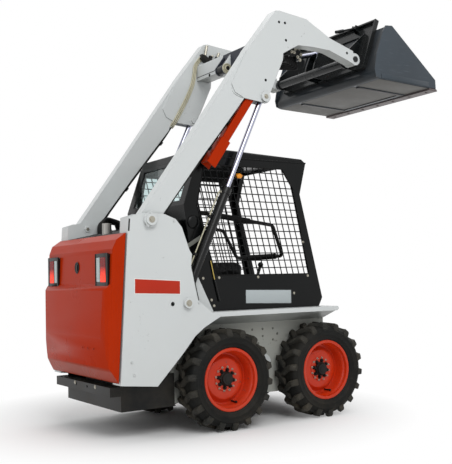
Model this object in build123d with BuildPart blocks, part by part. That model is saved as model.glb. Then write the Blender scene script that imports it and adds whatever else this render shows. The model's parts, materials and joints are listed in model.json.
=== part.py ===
"""Skid steer loader with its lift arms raised and a bucket on the quick-attach frame.

Units are millimetres. X points forward, Y to the machine's left and Z up. The origin is
on the ground, under the middle of the machine's outline. Side-view tables give each point
as (forward of the wheelbase's middle, height above the ground).
"""
import os
from math import atan2, cos, degrees, hypot, radians, sin, sqrt

from build123d import *

os.makedirs("parts", exist_ok=True)

# ---------------------------------------------------------------- driving dimensions
WHEEL_MID_X = -150.0        # middle of the wheelbase, in the machine's frame
WHEELBASE = 820.0
WHEEL_Y = 482.0             # tyre centre, from the machine's centre plane
RUN_GAP = 0.3               # clearance at pins, shafts and other fits
PLATE = 6.0                 # body sheet

# wheels
TYRE_R = 336.0              # to the tips of the lugs
TABLE_AXLE_Z = 336.0        # axle height that the side-view tables are drawn for
TYRE_W = 216.0
LUG_H = 22.0
LUG_PAIRS = 18              # lugs in each of the tread's two rows
LUG_ROOT_R = 280.0          # where a lug's root lies inside the carcass
# a lug's outline, across the tyre from its outer side and round it, at its root and tip
LUG_ROOT = [(-106, -43), (-106, -2), (8, 44), (26, 14), (-44, -43)]
LUG_TIP = [(-102, -38), (-102, -7), (6, 37), (19, 15), (-46, -38)]
TYRE_SIDES = 18             # the carcass is faceted
SHOULDER_R = 286.0
SHOULDER_Y = 84.0
RIM_R = 190.5               # bead seat
FLANGE_R = 211.0
RIM_W = 176.0
FLANGE_T = 6.0
AXLE_R = 30.0
AXLE_TUBE_R = 48.0
AXLE_TUBE_END_Y = 440.0

# main frame
FRAME_BOTTOM = 190.0
CASE_IN_Y = 250.0           # chaincase, inner and outer face
CASE_OUT_Y = 362.0
CASE_REAR = -760.0
CASE_FRONT = 560.0
CASE_WALL = 8.0
FENDER_TOP = 785.0
PANEL_Y = 542.0             # outer face of the uprights and fender lips
INNER_PLATE_Y = 434.0       # outer face of the uprights' inner plates
FRAME_REAR = -1150.0
FIREWALL_X = -700.0
ENGINE_TOP = 760.0
BUMPER_HOLE_SPACING = 180.0
BUMPER_HOLE_R = 9.0

# lift arms
PIVOT = (-985.0, 1388.0)
LIFT_BASE = (-722.0, 852.0)
LIFT_EYE = (-49.0, 2273.0)
TACH_PIN = (818.0, 2655.0)
ARM_IN_Y = 440.0
ARM_OUT_Y = 530.0
BEAM_INSET = 6.0            # beam's sides, inside the knee plates
KNEE_PLATE = 10.0
PIVOT_PIN_R = 25.0
BASE_PIN_R = 20.0
TACH_PIN_R = 22.0

# cylinders
LIFT_BARREL_R = 32.0
LIFT_ROD_R = 19.0
LIFT_BARREL_END = 850.0     # from the base pin to the barrel's open end
LIFT_ROD_LENGTH = 822.0     # from the rod's eye to the back of its piston
TILT_BASE = (-48.0, 2585.0)
TILT_CRANK = 200.0          # from the bucket hinge to the tilt rod's pin
TILT_CRANK_ANGLE = 66.0
TILT_BARREL_END = 622.0
TILT_ROD_LENGTH = 595.0
CLEVIS_Y = 37.0             # inner faces of the tilt cylinder's clevis
CLEVIS_PLATE = 12.0
CLEVIS_PIN_R = 18.0
CYL_WALL = 6.0
GLAND = 46.0
PISTON = 40.0
EYE_W = 60.0

# quick-attach frame and bucket
TACH_LOW = (950.0, 2600.0)  # front face of the frame's plate, lower edge
TACH_LEAN = 21.0            # from upright, top forward
TACH_LENGTH = 434.0
TACH_HALF_W = 505.0
TACH_PLATE = 12.0
TACH_TUBE_R = 35.0
MID_EAR_Y = 45.0            # outer faces of the ears that carry the tilt rod
LEVER_Y = 290.0
LEVER_PIN_R = 8.0
BUCKET_HALF_W = 634.0
BUCKET_SIDE = 8.0
BUCKET_SHEET = 8.0
HEEL_R = 45.0
EDGE_DEPTH = 90.0
STRIP_Y = 350.0             # wear strips under the floor
STRIP_W = 42.0
STRIP_T = 8.0
STRIP_REAR = 90.0           # from the heel, along the floor
STRIP_FRONT = 590.0

# cab
CAB_Y = 420.0               # outer face of the cab's sides
CAB_TOP = 1840.0            # where the roof sits on the sides
SEAT_PAN_Z = 1000.0
SCREEN_PITCH = 52           # spacing of the side screens' wires
SCREEN_WIRE = 7.0
SCREEN_WIRE_T = 4.0
SCREEN_BORDER = 14.0
SEAT_BAR_PIVOT = (-616.0, 1480.0)
SEAT_BAR_Y = 330.0
SEAT_BAR_PIN_R = 10.0
CAB_POST_W = 40.0

# tailgate and rear grille
TAILGATE_Y = 535.0
TAILGATE_SHEET = 5.0
TAILGATE_CORNER_R = 95.0
GATE_HINGE_BACK = 22.0      # hinge line, behind the uprights' rear edge
KNUCKLE_R = 10.0
KNUCKLE_HALF = 20.0
HINGE_PIN_R = 6.0
GATE_HINGE_Y = TAILGATE_Y - KNUCKLE_R
GATE_HINGE_HEIGHTS = (520.0, 1120.0)
LID_Y = 420.0
LID_HINGE = (-714.0, 1388.0)
LID_HINGE_YS = (300.0, -300.0)
LID_KNUCKLE_R = 12.0
LAMP_Y = 406.0
LAMP_W = 176.0
LAMP_LOW = 982.0
LAMP_HIGH = 1175.0

REAR_AXLE = (-WHEELBASE / 2, TABLE_AXLE_Z)
FRONT_AXLE = (WHEELBASE / 2, TABLE_AXLE_Z)

# ---------------------------------------------------------------- side-view outlines
# (forward, height)
PANEL_OUTLINE = [
    (-1135, 1404), (-1049, 1430), (-885, 1429), (-796, 1396), (-751, 1343), (-697, 1194),
    (-680, 1170), (-688, 1084), (-678, 1044), (-642, 869), (-531, 785), (558, 785),
    (566, 768), (552, 753), (-470, 753), (-593, 690), (-664, 639), (-755, 536),
    (-949, 338), (-1205, 364),
]
INNER_OUTLINE = [
    (-1135, 1404), (-1049, 1430), (-885, 1429), (-796, 1396), (-751, 1343), (-697, 1194),
    (-581, 1039), (-455, 785), (-430, 753), (-470, 753), (-593, 690), (-664, 639),
    (-755, 536), (-949, 338), (-1205, 364),
]
ARM_OUTLINE = [
    (-1037, 1426), (-674, 1921), (-187, 2595), (62, 2908), (97, 2915), (344, 2892),
    (570, 2781), (797, 2716), (820, 2609), (785, 2622), (716, 2644), (559, 2689),
    (393, 2692), (264, 2686), (126, 2608), (120, 2558), (16, 2338), (-49, 2228),
    (-76, 2234), (-222, 2247), (-306, 2141), (-593, 1793), (-937, 1353),
]
KNEE_OUTLINE = [
    (-329, 2341), (-300, 2282), (-222, 2247), (-76, 2234), (-49, 2228), (16, 2338),
    (120, 2558), (126, 2608), (264, 2686), (393, 2692), (559, 2689), (716, 2644),
    (785, 2622), (820, 2609), (797, 2716), (570, 2781), (344, 2892), (97, 2915),
    (62, 2908), (-187, 2595),
]
CAB_OUTLINE = [
    (-545, CAB_TOP), (387, CAB_TOP), (325, 1609), (512, 849), (478, FENDER_TOP),
    (-446, FENDER_TOP), (-600, 1050), (-662, 1507),
]
CAB_WINDOW = [(-420, 1028), (395, 1028), (262, 1652), (170, 1785), (-500, 1785), (-560, 1500)]
ROOF_OUTLINE = [
    (-545, CAB_TOP), (-530, 1893), (-300, 1899), (360, 1873), (390, 1851), (387, CAB_TOP),
]
# (y, height) across the fender's lower panel, from the chaincase out to the lip
FENDER_SLOPE = [(-CASE_OUT_Y, 691), (-CASE_OUT_Y, 697), (-538, 765), (-538, 759)]
BUCKET_SIDE_OUTLINE = [
    (1049, 2926), (1117, 2933), (1581, 2559), (1584, 2490), (1509, 2490), (974, 2503),
    (930, 2516), (918, 2568), (941, 2687), (1016, 2876),
]
TAILGATE_OUTLINE = [
    (-1151, 1305), (-1215, 1262), (-1240, 1205), (-1249, 990), (-1290, 950),
    (-1299, 660), (-1268, 470), (-1215, 378),
]


def at(forward, height):
    """Side-view point of the tables as (x, z) in the machine's frame, riding on the tyres."""
    return (WHEEL_MID_X + forward, height + TYRE_R - TABLE_AXLE_Z)


def level(height):
    """Level plane at a height of the tables."""
    _, z = at(0, height)
    return Plane.XY.offset(z)


def side_plane(y):
    """Upright plane at y, drawn as (x, z); a positive extrusion goes to the right (-Y)."""
    return Plane.XZ.offset(-y)


def side_face(points, y, corner=0.0):
    """Sketch of a side-view outline on the plane at y, its corners rounded by corner."""
    with BuildSketch(side_plane(y)) as sketch:
        with BuildLine():
            Polyline(*[at(*point) for point in points], close=True)
        make_face()
        if corner:
            fillet(sketch.vertices(), corner)
    return sketch.sketch


def disc(point, radius, y):
    """Round sketch about a side-view point on the plane at y."""
    with BuildSketch(side_plane(y)) as sketch:
        with Locations(at(*point)):
            Circle(radius)
    return sketch.sketch


def block(rear, front, low, high, y):
    """Rectangular side-view sketch on the plane at y."""
    return side_face([(rear, low), (front, low), (front, high), (rear, high)], y)


def turned(point, centre, angle):
    """Side-view point turned about centre by angle in degrees, nose up."""
    dx, dz = point[0] - centre[0], point[1] - centre[1]
    c, s = cos(radians(angle)), sin(radians(angle))
    return (centre[0] + c * dx - s * dz, centre[1] + s * dx + c * dz)


def finish(piece, name):
    """Label a finished piece and write it as one STEP file."""
    piece.part.label = name
    export_step(piece.part, f"parts/{name}.step")


def write_pair(piece, name):
    """Write the right-hand piece and its mirror image on the left."""
    finish(piece, f"{name}_right")
    with BuildPart() as twin:
        mirror(piece.part, about=Plane.XZ)
    finish(twin, f"{name}_left")


def write_both(piece, name):
    """Write the right-hand piece and its mirror image as the two solids of one node."""
    with BuildPart() as both:
        add(piece.part)
        mirror(piece.part, about=Plane.XZ)
    finish(both, name)


# ---------------------------------------------------------------- wheels
def tyre_ring(radius, y):
    """Polygon of a radius to its flats, about the axle, on the plane at y."""
    with BuildSketch(side_plane(y)) as ring:
        RegularPolygon(radius, TYRE_SIDES, major_radius=False)
    return ring.sketch


def lug_face(outline, radius):
    """Outline of a lug's section, as (y, round the tyre), at a radius in front of the axle."""
    with BuildSketch(Plane(origin=(radius, 0, 0), x_dir=(0, 1, 0), z_dir=(1, 0, 0))) as face:
        with BuildLine():
            Polyline(*outline, close=True)
        make_face()
    return face.sketch


def make_tyre():
    """Tyre about the origin with two staggered rows of lugs, its outer side towards -Y."""
    carcass = TYRE_R - LUG_H
    wall_y = TYRE_W / 2 - 2
    seat = RIM_W / 2 - 2 * FLANGE_T - RUN_GAP
    # from one y and radius to the next
    bands = [(-wall_y, SHOULDER_R, -SHOULDER_Y, carcass), (-SHOULDER_Y, carcass, SHOULDER_Y, carcass),
             (SHOULDER_Y, carcass, wall_y, SHOULDER_R)]
    tip_r = sqrt(TYRE_R**2 - LUG_TIP[0][1]**2)
    with BuildPart() as lug:
        loft([lug_face(LUG_ROOT, LUG_ROOT_R), lug_face(LUG_TIP, tip_r)], ruled=True)
    pitch = 360 / LUG_PAIRS
    # an edge of one outer lug stands on the ground
    first = 270 - degrees(atan2(LUG_TIP[0][1], tip_r))
    with BuildPart() as tyre:
        for low, low_r, high, high_r in bands:
            loft([tyre_ring(low_r, low), tyre_ring(high_r, high)], ruled=True)
        for row, start in ((lug.part, first), (lug.part.mirror(Plane.XZ), first + pitch / 2)):
            turns = [Location((0, 0, 0), (0, -start - pitch * place, 0)) for place in range(LUG_PAIRS)]
            add([row.moved(turn) for turn in turns])
        extrude(tyre_ring(RIM_R + RUN_GAP, TYRE_W), amount=2 * TYRE_W, mode=Mode.SUBTRACT)
        for start in (seat, -TYRE_W):
            extrude(tyre_ring(FLANGE_R + 1, start), amount=-(TYRE_W - seat), mode=Mode.SUBTRACT)
    return tyre


def make_rim():
    """Dished rim with its hub and axle shaft, the outer side towards -Y."""
    half = RIM_W / 2
    shaft_end = WHEEL_Y - CASE_OUT_Y - CASE_WALL
    with BuildPart() as rim:
        with BuildSketch(Plane.XY):
            with BuildLine():
                Polyline(
                    (0, shaft_end), (AXLE_R, shaft_end), (AXLE_R, 36), (62, 36), (62, 6),
                    (130, 6), (150, 24), (174, 30), (RIM_R - 8, half - FLANGE_T),
                    (FLANGE_R, half), (FLANGE_R, half - FLANGE_T), (RIM_R, half - 2 * FLANGE_T),
                    (RIM_R, -half + 2 * FLANGE_T), (FLANGE_R, -half + FLANGE_T),
                    (FLANGE_R, -half), (RIM_R - 8, -half + FLANGE_T), (RIM_R - 8, 18),
                    (156, 12), (134, -6), (84, -6), (84, -14), (46, -14), (46, -44), (0, -44),
                    close=True,
                )
            make_face()
        revolve(axis=Axis.Y)
    return rim


# name: (forward position, side), -1 is the right side
WHEELS = {
    "rear_right": (REAR_AXLE, -1),
    "rear_left": (REAR_AXLE, 1),
    "front_right": (FRONT_AXLE, -1),
    "front_left": (FRONT_AXLE, 1),
}
for maker, label in ((make_tyre, "tyre"), (make_rim, "rim")):
    shape = maker()
    for corner_name, (axle, side) in WHEELS.items():
        axle_x, axle_z = at(*axle)
        with BuildPart() as wheel_piece:
            with Locations((axle_x, -WHEEL_Y, axle_z)):
                add(shape.part)
            if side > 0:
                mirror(about=Plane.XZ, mode=Mode.REPLACE)
        finish(wheel_piece, f"{label}_{corner_name}")


# ---------------------------------------------------------------- main frame
def make_chaincase():
    """Right chaincase with both fixed axle tubes."""
    top = FENDER_TOP - PLATE
    with BuildPart() as case:
        extrude(block(CASE_REAR, CASE_FRONT, FRAME_BOTTOM, top, -CASE_IN_Y),
                amount=CASE_OUT_Y - CASE_IN_Y)
        extrude(block(CASE_REAR + CASE_WALL, CASE_FRONT - CASE_WALL, FRAME_BOTTOM + CASE_WALL, top,
                      -CASE_IN_Y - CASE_WALL),
                amount=CASE_OUT_Y - CASE_IN_Y - 2 * CASE_WALL, mode=Mode.SUBTRACT)
        for axle in (REAR_AXLE, FRONT_AXLE):
            extrude(disc(axle, AXLE_TUBE_R, -CASE_OUT_Y), amount=AXLE_TUBE_END_Y - CASE_OUT_Y)
            extrude(disc(axle, AXLE_R + RUN_GAP, -CASE_OUT_Y),
                    amount=AXLE_TUBE_END_Y - CASE_OUT_Y, mode=Mode.SUBTRACT)
    return case


def make_upright():
    """Right upright: outer and inner plates, webs, fender and the arm's and cylinder's pins."""
    inside = INNER_PLATE_Y
    outside = PANEL_Y - PLATE
    span = outside - inside
    web = PLATE
    fender_rear, _ = at(-490, 0)
    fender_front, _ = at(CASE_FRONT - 8, 0)
    with BuildPart() as upright:
        extrude(side_face(PANEL_OUTLINE, -outside), amount=PLATE)
        extrude(side_face(INNER_OUTLINE, -inside + PLATE), amount=PLATE)
        rear_web = [(-1135, 1404), (-1205, 364), (-1205 + web, 364), (-1135 + web, 1404)]
        extrude(side_face(rear_web, -inside), amount=span)
        arch = [(-949, 338), (-755, 536), (-664, 639), (-593, 690), (-470, 753)]
        arch_inner = [(x - web, z + web) for x, z in reversed(arch)]
        extrude(side_face(arch + arch_inner, -inside), amount=span)
        extrude(block(-1160, CASE_REAR, FENDER_TOP - PLATE, FENDER_TOP, -inside), amount=span)
        extrude(block(CASE_REAR, 558, FENDER_TOP - PLATE, FENDER_TOP, -CASE_IN_Y),
                amount=outside - CASE_IN_Y)
        with BuildSketch(Plane.YZ.offset(fender_rear)):
            with BuildLine():
                Polyline(*[(y, at(0, height)[1]) for y, height in FENDER_SLOPE], close=True)
            make_face()
        extrude(amount=fender_front - fender_rear)
        extrude(disc(PIVOT, PIVOT_PIN_R, -inside + PLATE), amount=PANEL_Y - inside + PLATE)
        extrude(disc(PIVOT, 47, -PANEL_Y), amount=22)
        extrude(disc(PIVOT, 38, -PANEL_Y), amount=31)
        extrude(disc(LIFT_BASE, BASE_PIN_R, -inside + PLATE), amount=PANEL_Y - inside + PLATE)
        extrude(disc(LIFT_BASE, 33, -PANEL_Y), amount=24)
        extrude(disc((-830, 850), 14, -outside), amount=PLATE, mode=Mode.SUBTRACT)
    return upright


def make_lower_frame():
    """Belly plate with side and rear walls, front cross plate and firewall."""
    bay_y = INNER_PLATE_Y - PLATE
    with BuildPart() as frame:
        belly = FRAME_BOTTOM - PLATE
        extrude(block(FRAME_REAR, CASE_FRONT, belly, FRAME_BOTTOM, CASE_IN_Y), amount=2 * CASE_IN_Y)
        extrude(block(FRAME_REAR, CASE_REAR, belly, FRAME_BOTTOM, bay_y), amount=2 * bay_y)
        extrude(block(FRAME_REAR, FRAME_REAR + PLATE, belly, 345, bay_y), amount=2 * bay_y)
        for edge in (bay_y, -bay_y + PLATE):
            extrude(block(FRAME_REAR, CASE_REAR - PLATE, belly, 400, edge), amount=PLATE)
        extrude(block(CASE_FRONT - PLATE, CASE_FRONT, belly, 470, CASE_IN_Y), amount=2 * CASE_IN_Y)
        extrude(block(FIREWALL_X, FIREWALL_X + PLATE, FRAME_BOTTOM, FENDER_TOP, CASE_IN_Y),
                amount=2 * CASE_IN_Y)
        extrude(block(FIREWALL_X, FIREWALL_X + PLATE, FENDER_TOP, 1376, bay_y), amount=2 * bay_y)
        add_lid_brackets()
    return frame


def gate_hinge_plane(height):
    """Plane across the tailgate's hinge line; its normal follows the uprights' rear edge."""
    (top_x, top_z), (low_x, low_z) = PANEL_OUTLINE[0], PANEL_OUTLINE[-1]
    lean = (top_x - low_x) / (top_z - low_z)
    hinge_x, hinge_z = at(low_x + lean * (height - low_z) - GATE_HINGE_BACK, height)
    return Plane(origin=(hinge_x, GATE_HINGE_Y, hinge_z), x_dir=(0, 1, 0), z_dir=(lean, 0, 1))


def make_left_upright(right):
    """Left upright: the right one's mirror image with the tailgate's hinge brackets."""
    with BuildPart() as upright:
        mirror(right.part, about=Plane.XZ)
        for height in GATE_HINGE_HEIGHTS:
            with BuildSketch(gate_hinge_plane(height)):
                Circle(KNUCKLE_R)
                with Locations((0, -GATE_HINGE_BACK / 2)):
                    Rectangle(KNUCKLE_R, GATE_HINGE_BACK + 4)
            extrude(amount=KNUCKLE_HALF, both=True)
            with BuildSketch(gate_hinge_plane(height)):
                Circle(HINGE_PIN_R)
            extrude(amount=3 * KNUCKLE_HALF, both=True)
    return upright


def make_bumper():
    """Rear bumper beam across the belly plate's rear wall, with two tow-bolt holes."""
    with BuildPart() as bumper:
        extrude(block(FRAME_REAR - 80, FRAME_REAR, 286, 345, 440), amount=880)
        extrude(block(FRAME_REAR - 72, FRAME_REAR - 8, 278, 337, 420), amount=840,
                mode=Mode.SUBTRACT)
        hole_x, hole_z = at(FRAME_REAR - 80, 322)
        with BuildSketch(Plane(origin=(hole_x, 0, hole_z), x_dir=(0, 1, 0), z_dir=(1, 0, 0))):
            with GridLocations(BUMPER_HOLE_SPACING, 1, 2, 1):
                Circle(BUMPER_HOLE_R)
        extrude(amount=8, mode=Mode.SUBTRACT)
    return bumper


def make_engine():
    """Engine as one plain block on the belly plate."""
    with BuildPart() as engine:
        extrude(block(-1100, FIREWALL_X - 15, FRAME_BOTTOM, ENGINE_TOP, 230), amount=460)
        fillet(engine.edges().filter_by(Axis.Y), 30)
    return engine


def make_muffler():
    """Muffler drum above the engine with its down pipe and tail pipe."""
    drum = (-985, 1180)
    pipe_top = 1400
    pipe_floor = drum[1] + 90
    with BuildPart() as muffler:
        extrude(disc(drum, 80, 260), amount=520)
        drum_x, _ = at(*drum)
        with BuildSketch(level(ENGINE_TOP)):
            with Locations((drum_x, 120)):
                Circle(24)
        extrude(amount=drum[1] - ENGINE_TOP)
        tail_x, _ = at(-1030, 0)
        with BuildSketch(level(drum[1])):
            with Locations((tail_x, 0)):
                Circle(32)
        extrude(amount=pipe_top - drum[1])
        with BuildSketch(level(pipe_floor)):
            with Locations((tail_x, 0)):
                Circle(28)
        extrude(amount=pipe_top - pipe_floor, mode=Mode.SUBTRACT)
    return muffler


# ---------------------------------------------------------------- lift arms
def make_arm():
    """Right lift arm: box beam with knee plates, open at the knee for the cylinder's rod."""
    beam_y = ARM_IN_Y + BEAM_INSET
    width = ARM_OUT_Y - ARM_IN_Y
    with BuildPart() as arm:
        extrude(side_face(ARM_OUTLINE, -beam_y), amount=width - 2 * BEAM_INSET)
        extrude(disc(PIVOT, 64, -beam_y), amount=width - 2 * BEAM_INSET)
        extrude(side_face(KNEE_OUTLINE, -ARM_IN_Y), amount=width)
        extrude(disc(LIFT_EYE, 45, -ARM_IN_Y), amount=width)
        extrude(disc(TACH_PIN, 46, -ARM_IN_Y), amount=width)
        extrude(disc(LIFT_EYE, 38, -ARM_OUT_Y), amount=18)
        with BuildSketch(side_plane(-ARM_IN_Y - KNEE_PLATE)) as pocket:
            with BuildLine():
                Polyline(*[at(*point) for point in ARM_OUTLINE], close=True)
            make_face()
            offset(amount=-KNEE_PLATE)
            with Locations(at(*PIVOT)):
                Circle(110, mode=Mode.SUBTRACT)
            with Locations(at(*TACH_PIN)):
                Circle(80, mode=Mode.SUBTRACT)
            with BuildLine():
                Polyline(*[at(*p) for p in
                           [(-235, 2300), (-250, 2190), (60, 2190), (170, 2500), (100, 2560)]],
                         close=True)
            make_face()
        extrude(pocket.sketch, amount=width - 2 * KNEE_PLATE, mode=Mode.SUBTRACT)
        extrude(disc(PIVOT, PIVOT_PIN_R + RUN_GAP, -ARM_IN_Y), amount=width, mode=Mode.SUBTRACT)
        extrude(disc(TACH_PIN, TACH_PIN_R + RUN_GAP, -ARM_IN_Y), amount=width,
                mode=Mode.SUBTRACT)
    return arm


def make_cross_member():
    """Box tube between the knees, with the tilt cylinder's clevis and tunnel."""
    low, high, rear, front, wall = 2600, 2715, -10, 100, 10
    tunnel_top = high - 25
    clevis = [(-88, 2598), (-72, 2553), (-28, 2549), (30, 2600), (30, 2700), (-12, 2700)]
    with BuildPart() as member:
        extrude(block(rear, front, low, high, ARM_IN_Y), amount=2 * ARM_IN_Y)
        extrude(block(rear + wall, front - wall, low + wall, high - wall, ARM_IN_Y),
                amount=2 * ARM_IN_Y, mode=Mode.SUBTRACT)
        tunnel = CLEVIS_Y + CLEVIS_PLATE
        extrude(block(rear, front, low, tunnel_top, tunnel), amount=2 * tunnel)
        extrude(block(rear, front, low, tunnel_top - CLEVIS_PLATE, CLEVIS_Y),
                amount=2 * CLEVIS_Y, mode=Mode.SUBTRACT)
        for edge in (tunnel, -CLEVIS_Y):
            extrude(side_face(clevis, edge), amount=CLEVIS_PLATE)
            extrude(disc(TILT_BASE, 38, edge), amount=CLEVIS_PLATE)
        extrude(disc(TILT_BASE, CLEVIS_PIN_R, tunnel), amount=2 * tunnel)
    return member


def make_support_bar():
    """Arm support channel, hung in the right knee and stowed under the beam."""
    hinge = (-150, 2275)
    foot = (-508, 1770)
    angle = degrees(atan2(hinge[1] - foot[1], hinge[0] - foot[0]))
    length = hypot(hinge[0] - foot[0], hinge[1] - foot[1])

    def along(down, out):
        """Point at a distance down the bar and out towards the cylinder."""
        straight = (hinge[0] - down, hinge[1] - out)
        return turned(straight, hinge, angle)

    # from and to along the bar, half width, rear face and front edge
    sections = [(-20, 430, 30, -26, 30), (400, length, 42, -34, 40)]
    middle = (ARM_IN_Y + ARM_OUT_Y) / 2
    with BuildPart() as bar:
        for start, end, half, back, front in sections:
            outer = [along(start, back), along(end, back), along(end, front), along(start, front)]
            head = start + (8 if start > 0 else -1)
            inner = [along(head, back + 6), along(end + 1, back + 6),
                     along(end + 1, front + 1), along(head, front + 1)]
            extrude(side_face(outer, -middle + half), amount=2 * half)
            extrude(side_face(inner, -middle + half - 5), amount=2 * half - 10,
                    mode=Mode.SUBTRACT)
        extrude(disc(hinge, 16, -middle + 34.7), amount=69.4)
    return bar


# ---------------------------------------------------------------- cylinders
def axis_plane(point, y, angle):
    """Plane square to a cylinder's axis, which rises forward by angle from point."""
    x, z = at(*point)
    a = radians(angle)
    return Plane(origin=(x, y, z), x_dir=(0, 1, 0), z_dir=(cos(a), 0, sin(a)))


def make_barrel(base, y, angle, end, pin_r, rod_r):
    """Cylinder barrel with its base eye, bored for the rod and its piston."""
    plane = axis_plane(base, y, angle)
    eye_r = LIFT_BARREL_R + 4
    with BuildPart() as barrel:
        with BuildSketch(plane.offset(pin_r + CYL_WALL)):
            Circle(LIFT_BARREL_R)
        extrude(amount=end - pin_r - CYL_WALL)
        with BuildSketch(plane.offset(end - GLAND)):
            Circle(LIFT_BARREL_R + 4)
        extrude(amount=GLAND)
        with BuildSketch(plane.offset(eye_r + 16)):
            Circle(LIFT_BARREL_R - CYL_WALL)
        extrude(amount=end - GLAND - eye_r - 16, mode=Mode.SUBTRACT)
        with BuildSketch(plane.offset(end - GLAND)):
            Circle(rod_r + RUN_GAP)
        extrude(amount=GLAND, mode=Mode.SUBTRACT)
        extrude(disc(base, eye_r, y + EYE_W / 2), amount=EYE_W)
        extrude(disc(base, pin_r + RUN_GAP, y + EYE_W / 2), amount=EYE_W, mode=Mode.SUBTRACT)
    return barrel


def make_rod(base, eye, y, angle, length, rod_r):
    """Cylinder rod with its piston and eye, the pin through the eye fused in."""
    plane = axis_plane(base, y, angle)
    reach = hypot(eye[0] - base[0], eye[1] - base[1])
    with BuildPart() as rod:
        with BuildSketch(plane.offset(reach - length)):
            Circle(rod_r)
        extrude(amount=length)
        with BuildSketch(plane.offset(reach - length)):
            Circle(LIFT_BARREL_R - CYL_WALL - RUN_GAP)
        extrude(amount=PISTON)
        extrude(disc(eye, 31, y + EYE_W / 2), amount=EYE_W)
    return rod


def rise(base, eye):
    """Angle of the line from a cylinder's base pin to its rod's eye."""
    return degrees(atan2(eye[1] - base[1], eye[0] - base[0]))


TILT_EYE = (
    TACH_PIN[0] + TILT_CRANK * cos(radians(TILT_CRANK_ANGLE)),
    TACH_PIN[1] + TILT_CRANK * sin(radians(TILT_CRANK_ANGLE)),
)
LIFT_Y = -(ARM_IN_Y + ARM_OUT_Y) / 2


# ---------------------------------------------------------------- quick-attach frame
def tach_point(up, back):
    """Side-view point up along the quick-attach plate and back from its front face."""
    lean = radians(TACH_LEAN)
    return (TACH_LOW[0] + up * sin(lean) - back * cos(lean),
            TACH_LOW[1] + up * cos(lean) + back * sin(lean))


def tach_face(points, y):
    """Side sketch of an outline given as (up, back) on the quick-attach plate."""
    return side_face([tach_point(*point) for point in points], y)


LEVER_HUB = tach_point(402, 54)


def make_tach_frame():
    """Quick-attach frame: plate, ribs, hinge tube with its pins and the lever brackets."""
    t = TACH_PLATE
    top = TACH_LENGTH
    side_ear = [(0, 0), (330, 0), (330, 36), (60, 178), (-26, 168), (-34, 130), (-14, 60)]
    mid_ear = [(0, 0), (330, 0), (330, 36), (240, 160), (170, 172), (60, 178), (-26, 168),
               (-34, 130), (-14, 60)]
    with BuildPart() as frame:
        extrude(tach_face([(0, 0), (top, 0), (top, t), (0, t)], TACH_HALF_W),
                amount=2 * TACH_HALF_W)
        for y in (340, -130):
            extrude(tach_face([(120, -t), (330, -t), (330, 2 * t), (120, 2 * t)], y), amount=210,
                    mode=Mode.SUBTRACT)
        extrude(tach_face([(top - 14, 0), (top, 0), (top, 36), (top - 14, 36)], TACH_HALF_W),
                amount=2 * TACH_HALF_W)
        extrude(tach_face([(0, 0), (26, 0), (26, 34), (0, 34)], TACH_HALF_W),
                amount=2 * TACH_HALF_W)
        for y in (TACH_HALF_W, -TACH_HALF_W + t):
            extrude(tach_face([(0, 0), (top, 0), (top, 38), (0, 38)], y), amount=t)
        for y in (412, -400):
            extrude(tach_face(side_ear, y), amount=t)
            extrude(disc(TACH_PIN, 46, y), amount=t)
        for y in (MID_EAR_Y + CLEVIS_PLATE, -MID_EAR_Y):
            extrude(tach_face(mid_ear, y), amount=CLEVIS_PLATE)
            extrude(disc(TILT_EYE, 34, y), amount=CLEVIS_PLATE)
        tube_y = ARM_IN_Y - 6
        extrude(disc(TACH_PIN, TACH_TUBE_R, tube_y), amount=2 * tube_y)
        extrude(disc(TACH_PIN, TACH_PIN_R, ARM_OUT_Y + 6), amount=2 * (ARM_OUT_Y + 6))
        for y in (LEVER_Y + 22, LEVER_Y - 12, -LEVER_Y + 22, -LEVER_Y - 12):
            bracket = [(top - 60, 0), (top, 0), (top - 14, 66), (top - 48, 66)]
            extrude(tach_face(bracket, y), amount=10)
        for y in (LEVER_Y + 22, -LEVER_Y + 22):
            extrude(disc(LEVER_HUB, LEVER_PIN_R, y), amount=44)
    return frame


def make_lever(y):
    """Quick-attach locking lever with its grip, hung on a bracket pin at y."""
    tip = turned((LEVER_HUB[0] - 205, LEVER_HUB[1]), LEVER_HUB, 17)
    grip = turned((LEVER_HUB[0] - 130, LEVER_HUB[1]), LEVER_HUB, 17)
    (hub_x, hub_z), (tip_x, tip_z), (grip_x, grip_z) = at(*LEVER_HUB), at(*tip), at(*grip)
    run = Vector(tip_x - hub_x, 0, tip_z - hub_z).normalized()
    with BuildPart() as lever:
        extrude(disc(LEVER_HUB, 15, y + 11), amount=22)
        with BuildSketch(Plane(origin=(hub_x, y, hub_z), x_dir=(0, 1, 0), z_dir=run)):
            Rectangle(16, 12)
        extrude(amount=205)
        with BuildSketch(Plane(origin=(grip_x, y, grip_z), x_dir=(0, 1, 0), z_dir=run)):
            Circle(13)
        extrude(amount=80)
        extrude(disc(LEVER_HUB, LEVER_PIN_R + RUN_GAP, y + 11), amount=22, mode=Mode.SUBTRACT)
    return lever


# ---------------------------------------------------------------- bucket
FLOOR_REAR = tach_point(-105, 0)
FLOOR_FRONT = (1590.0, 2485.0)


def floor_point(along, below):
    """Side-view point along the bucket's underside from its heel, and below it."""
    lean = atan2(FLOOR_REAR[1] - FLOOR_FRONT[1], FLOOR_FRONT[0] - FLOOR_REAR[0])
    return (FLOOR_REAR[0] + along * cos(lean) - below * sin(lean),
            FLOOR_REAR[1] - along * sin(lean) - below * cos(lean))


def wear_strip(rear, front):
    """Side-view points of a strip under the bucket's floor."""
    return [floor_point(rear, 0), floor_point(front, 0), floor_point(front, STRIP_T),
            floor_point(rear, STRIP_T)]


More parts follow.
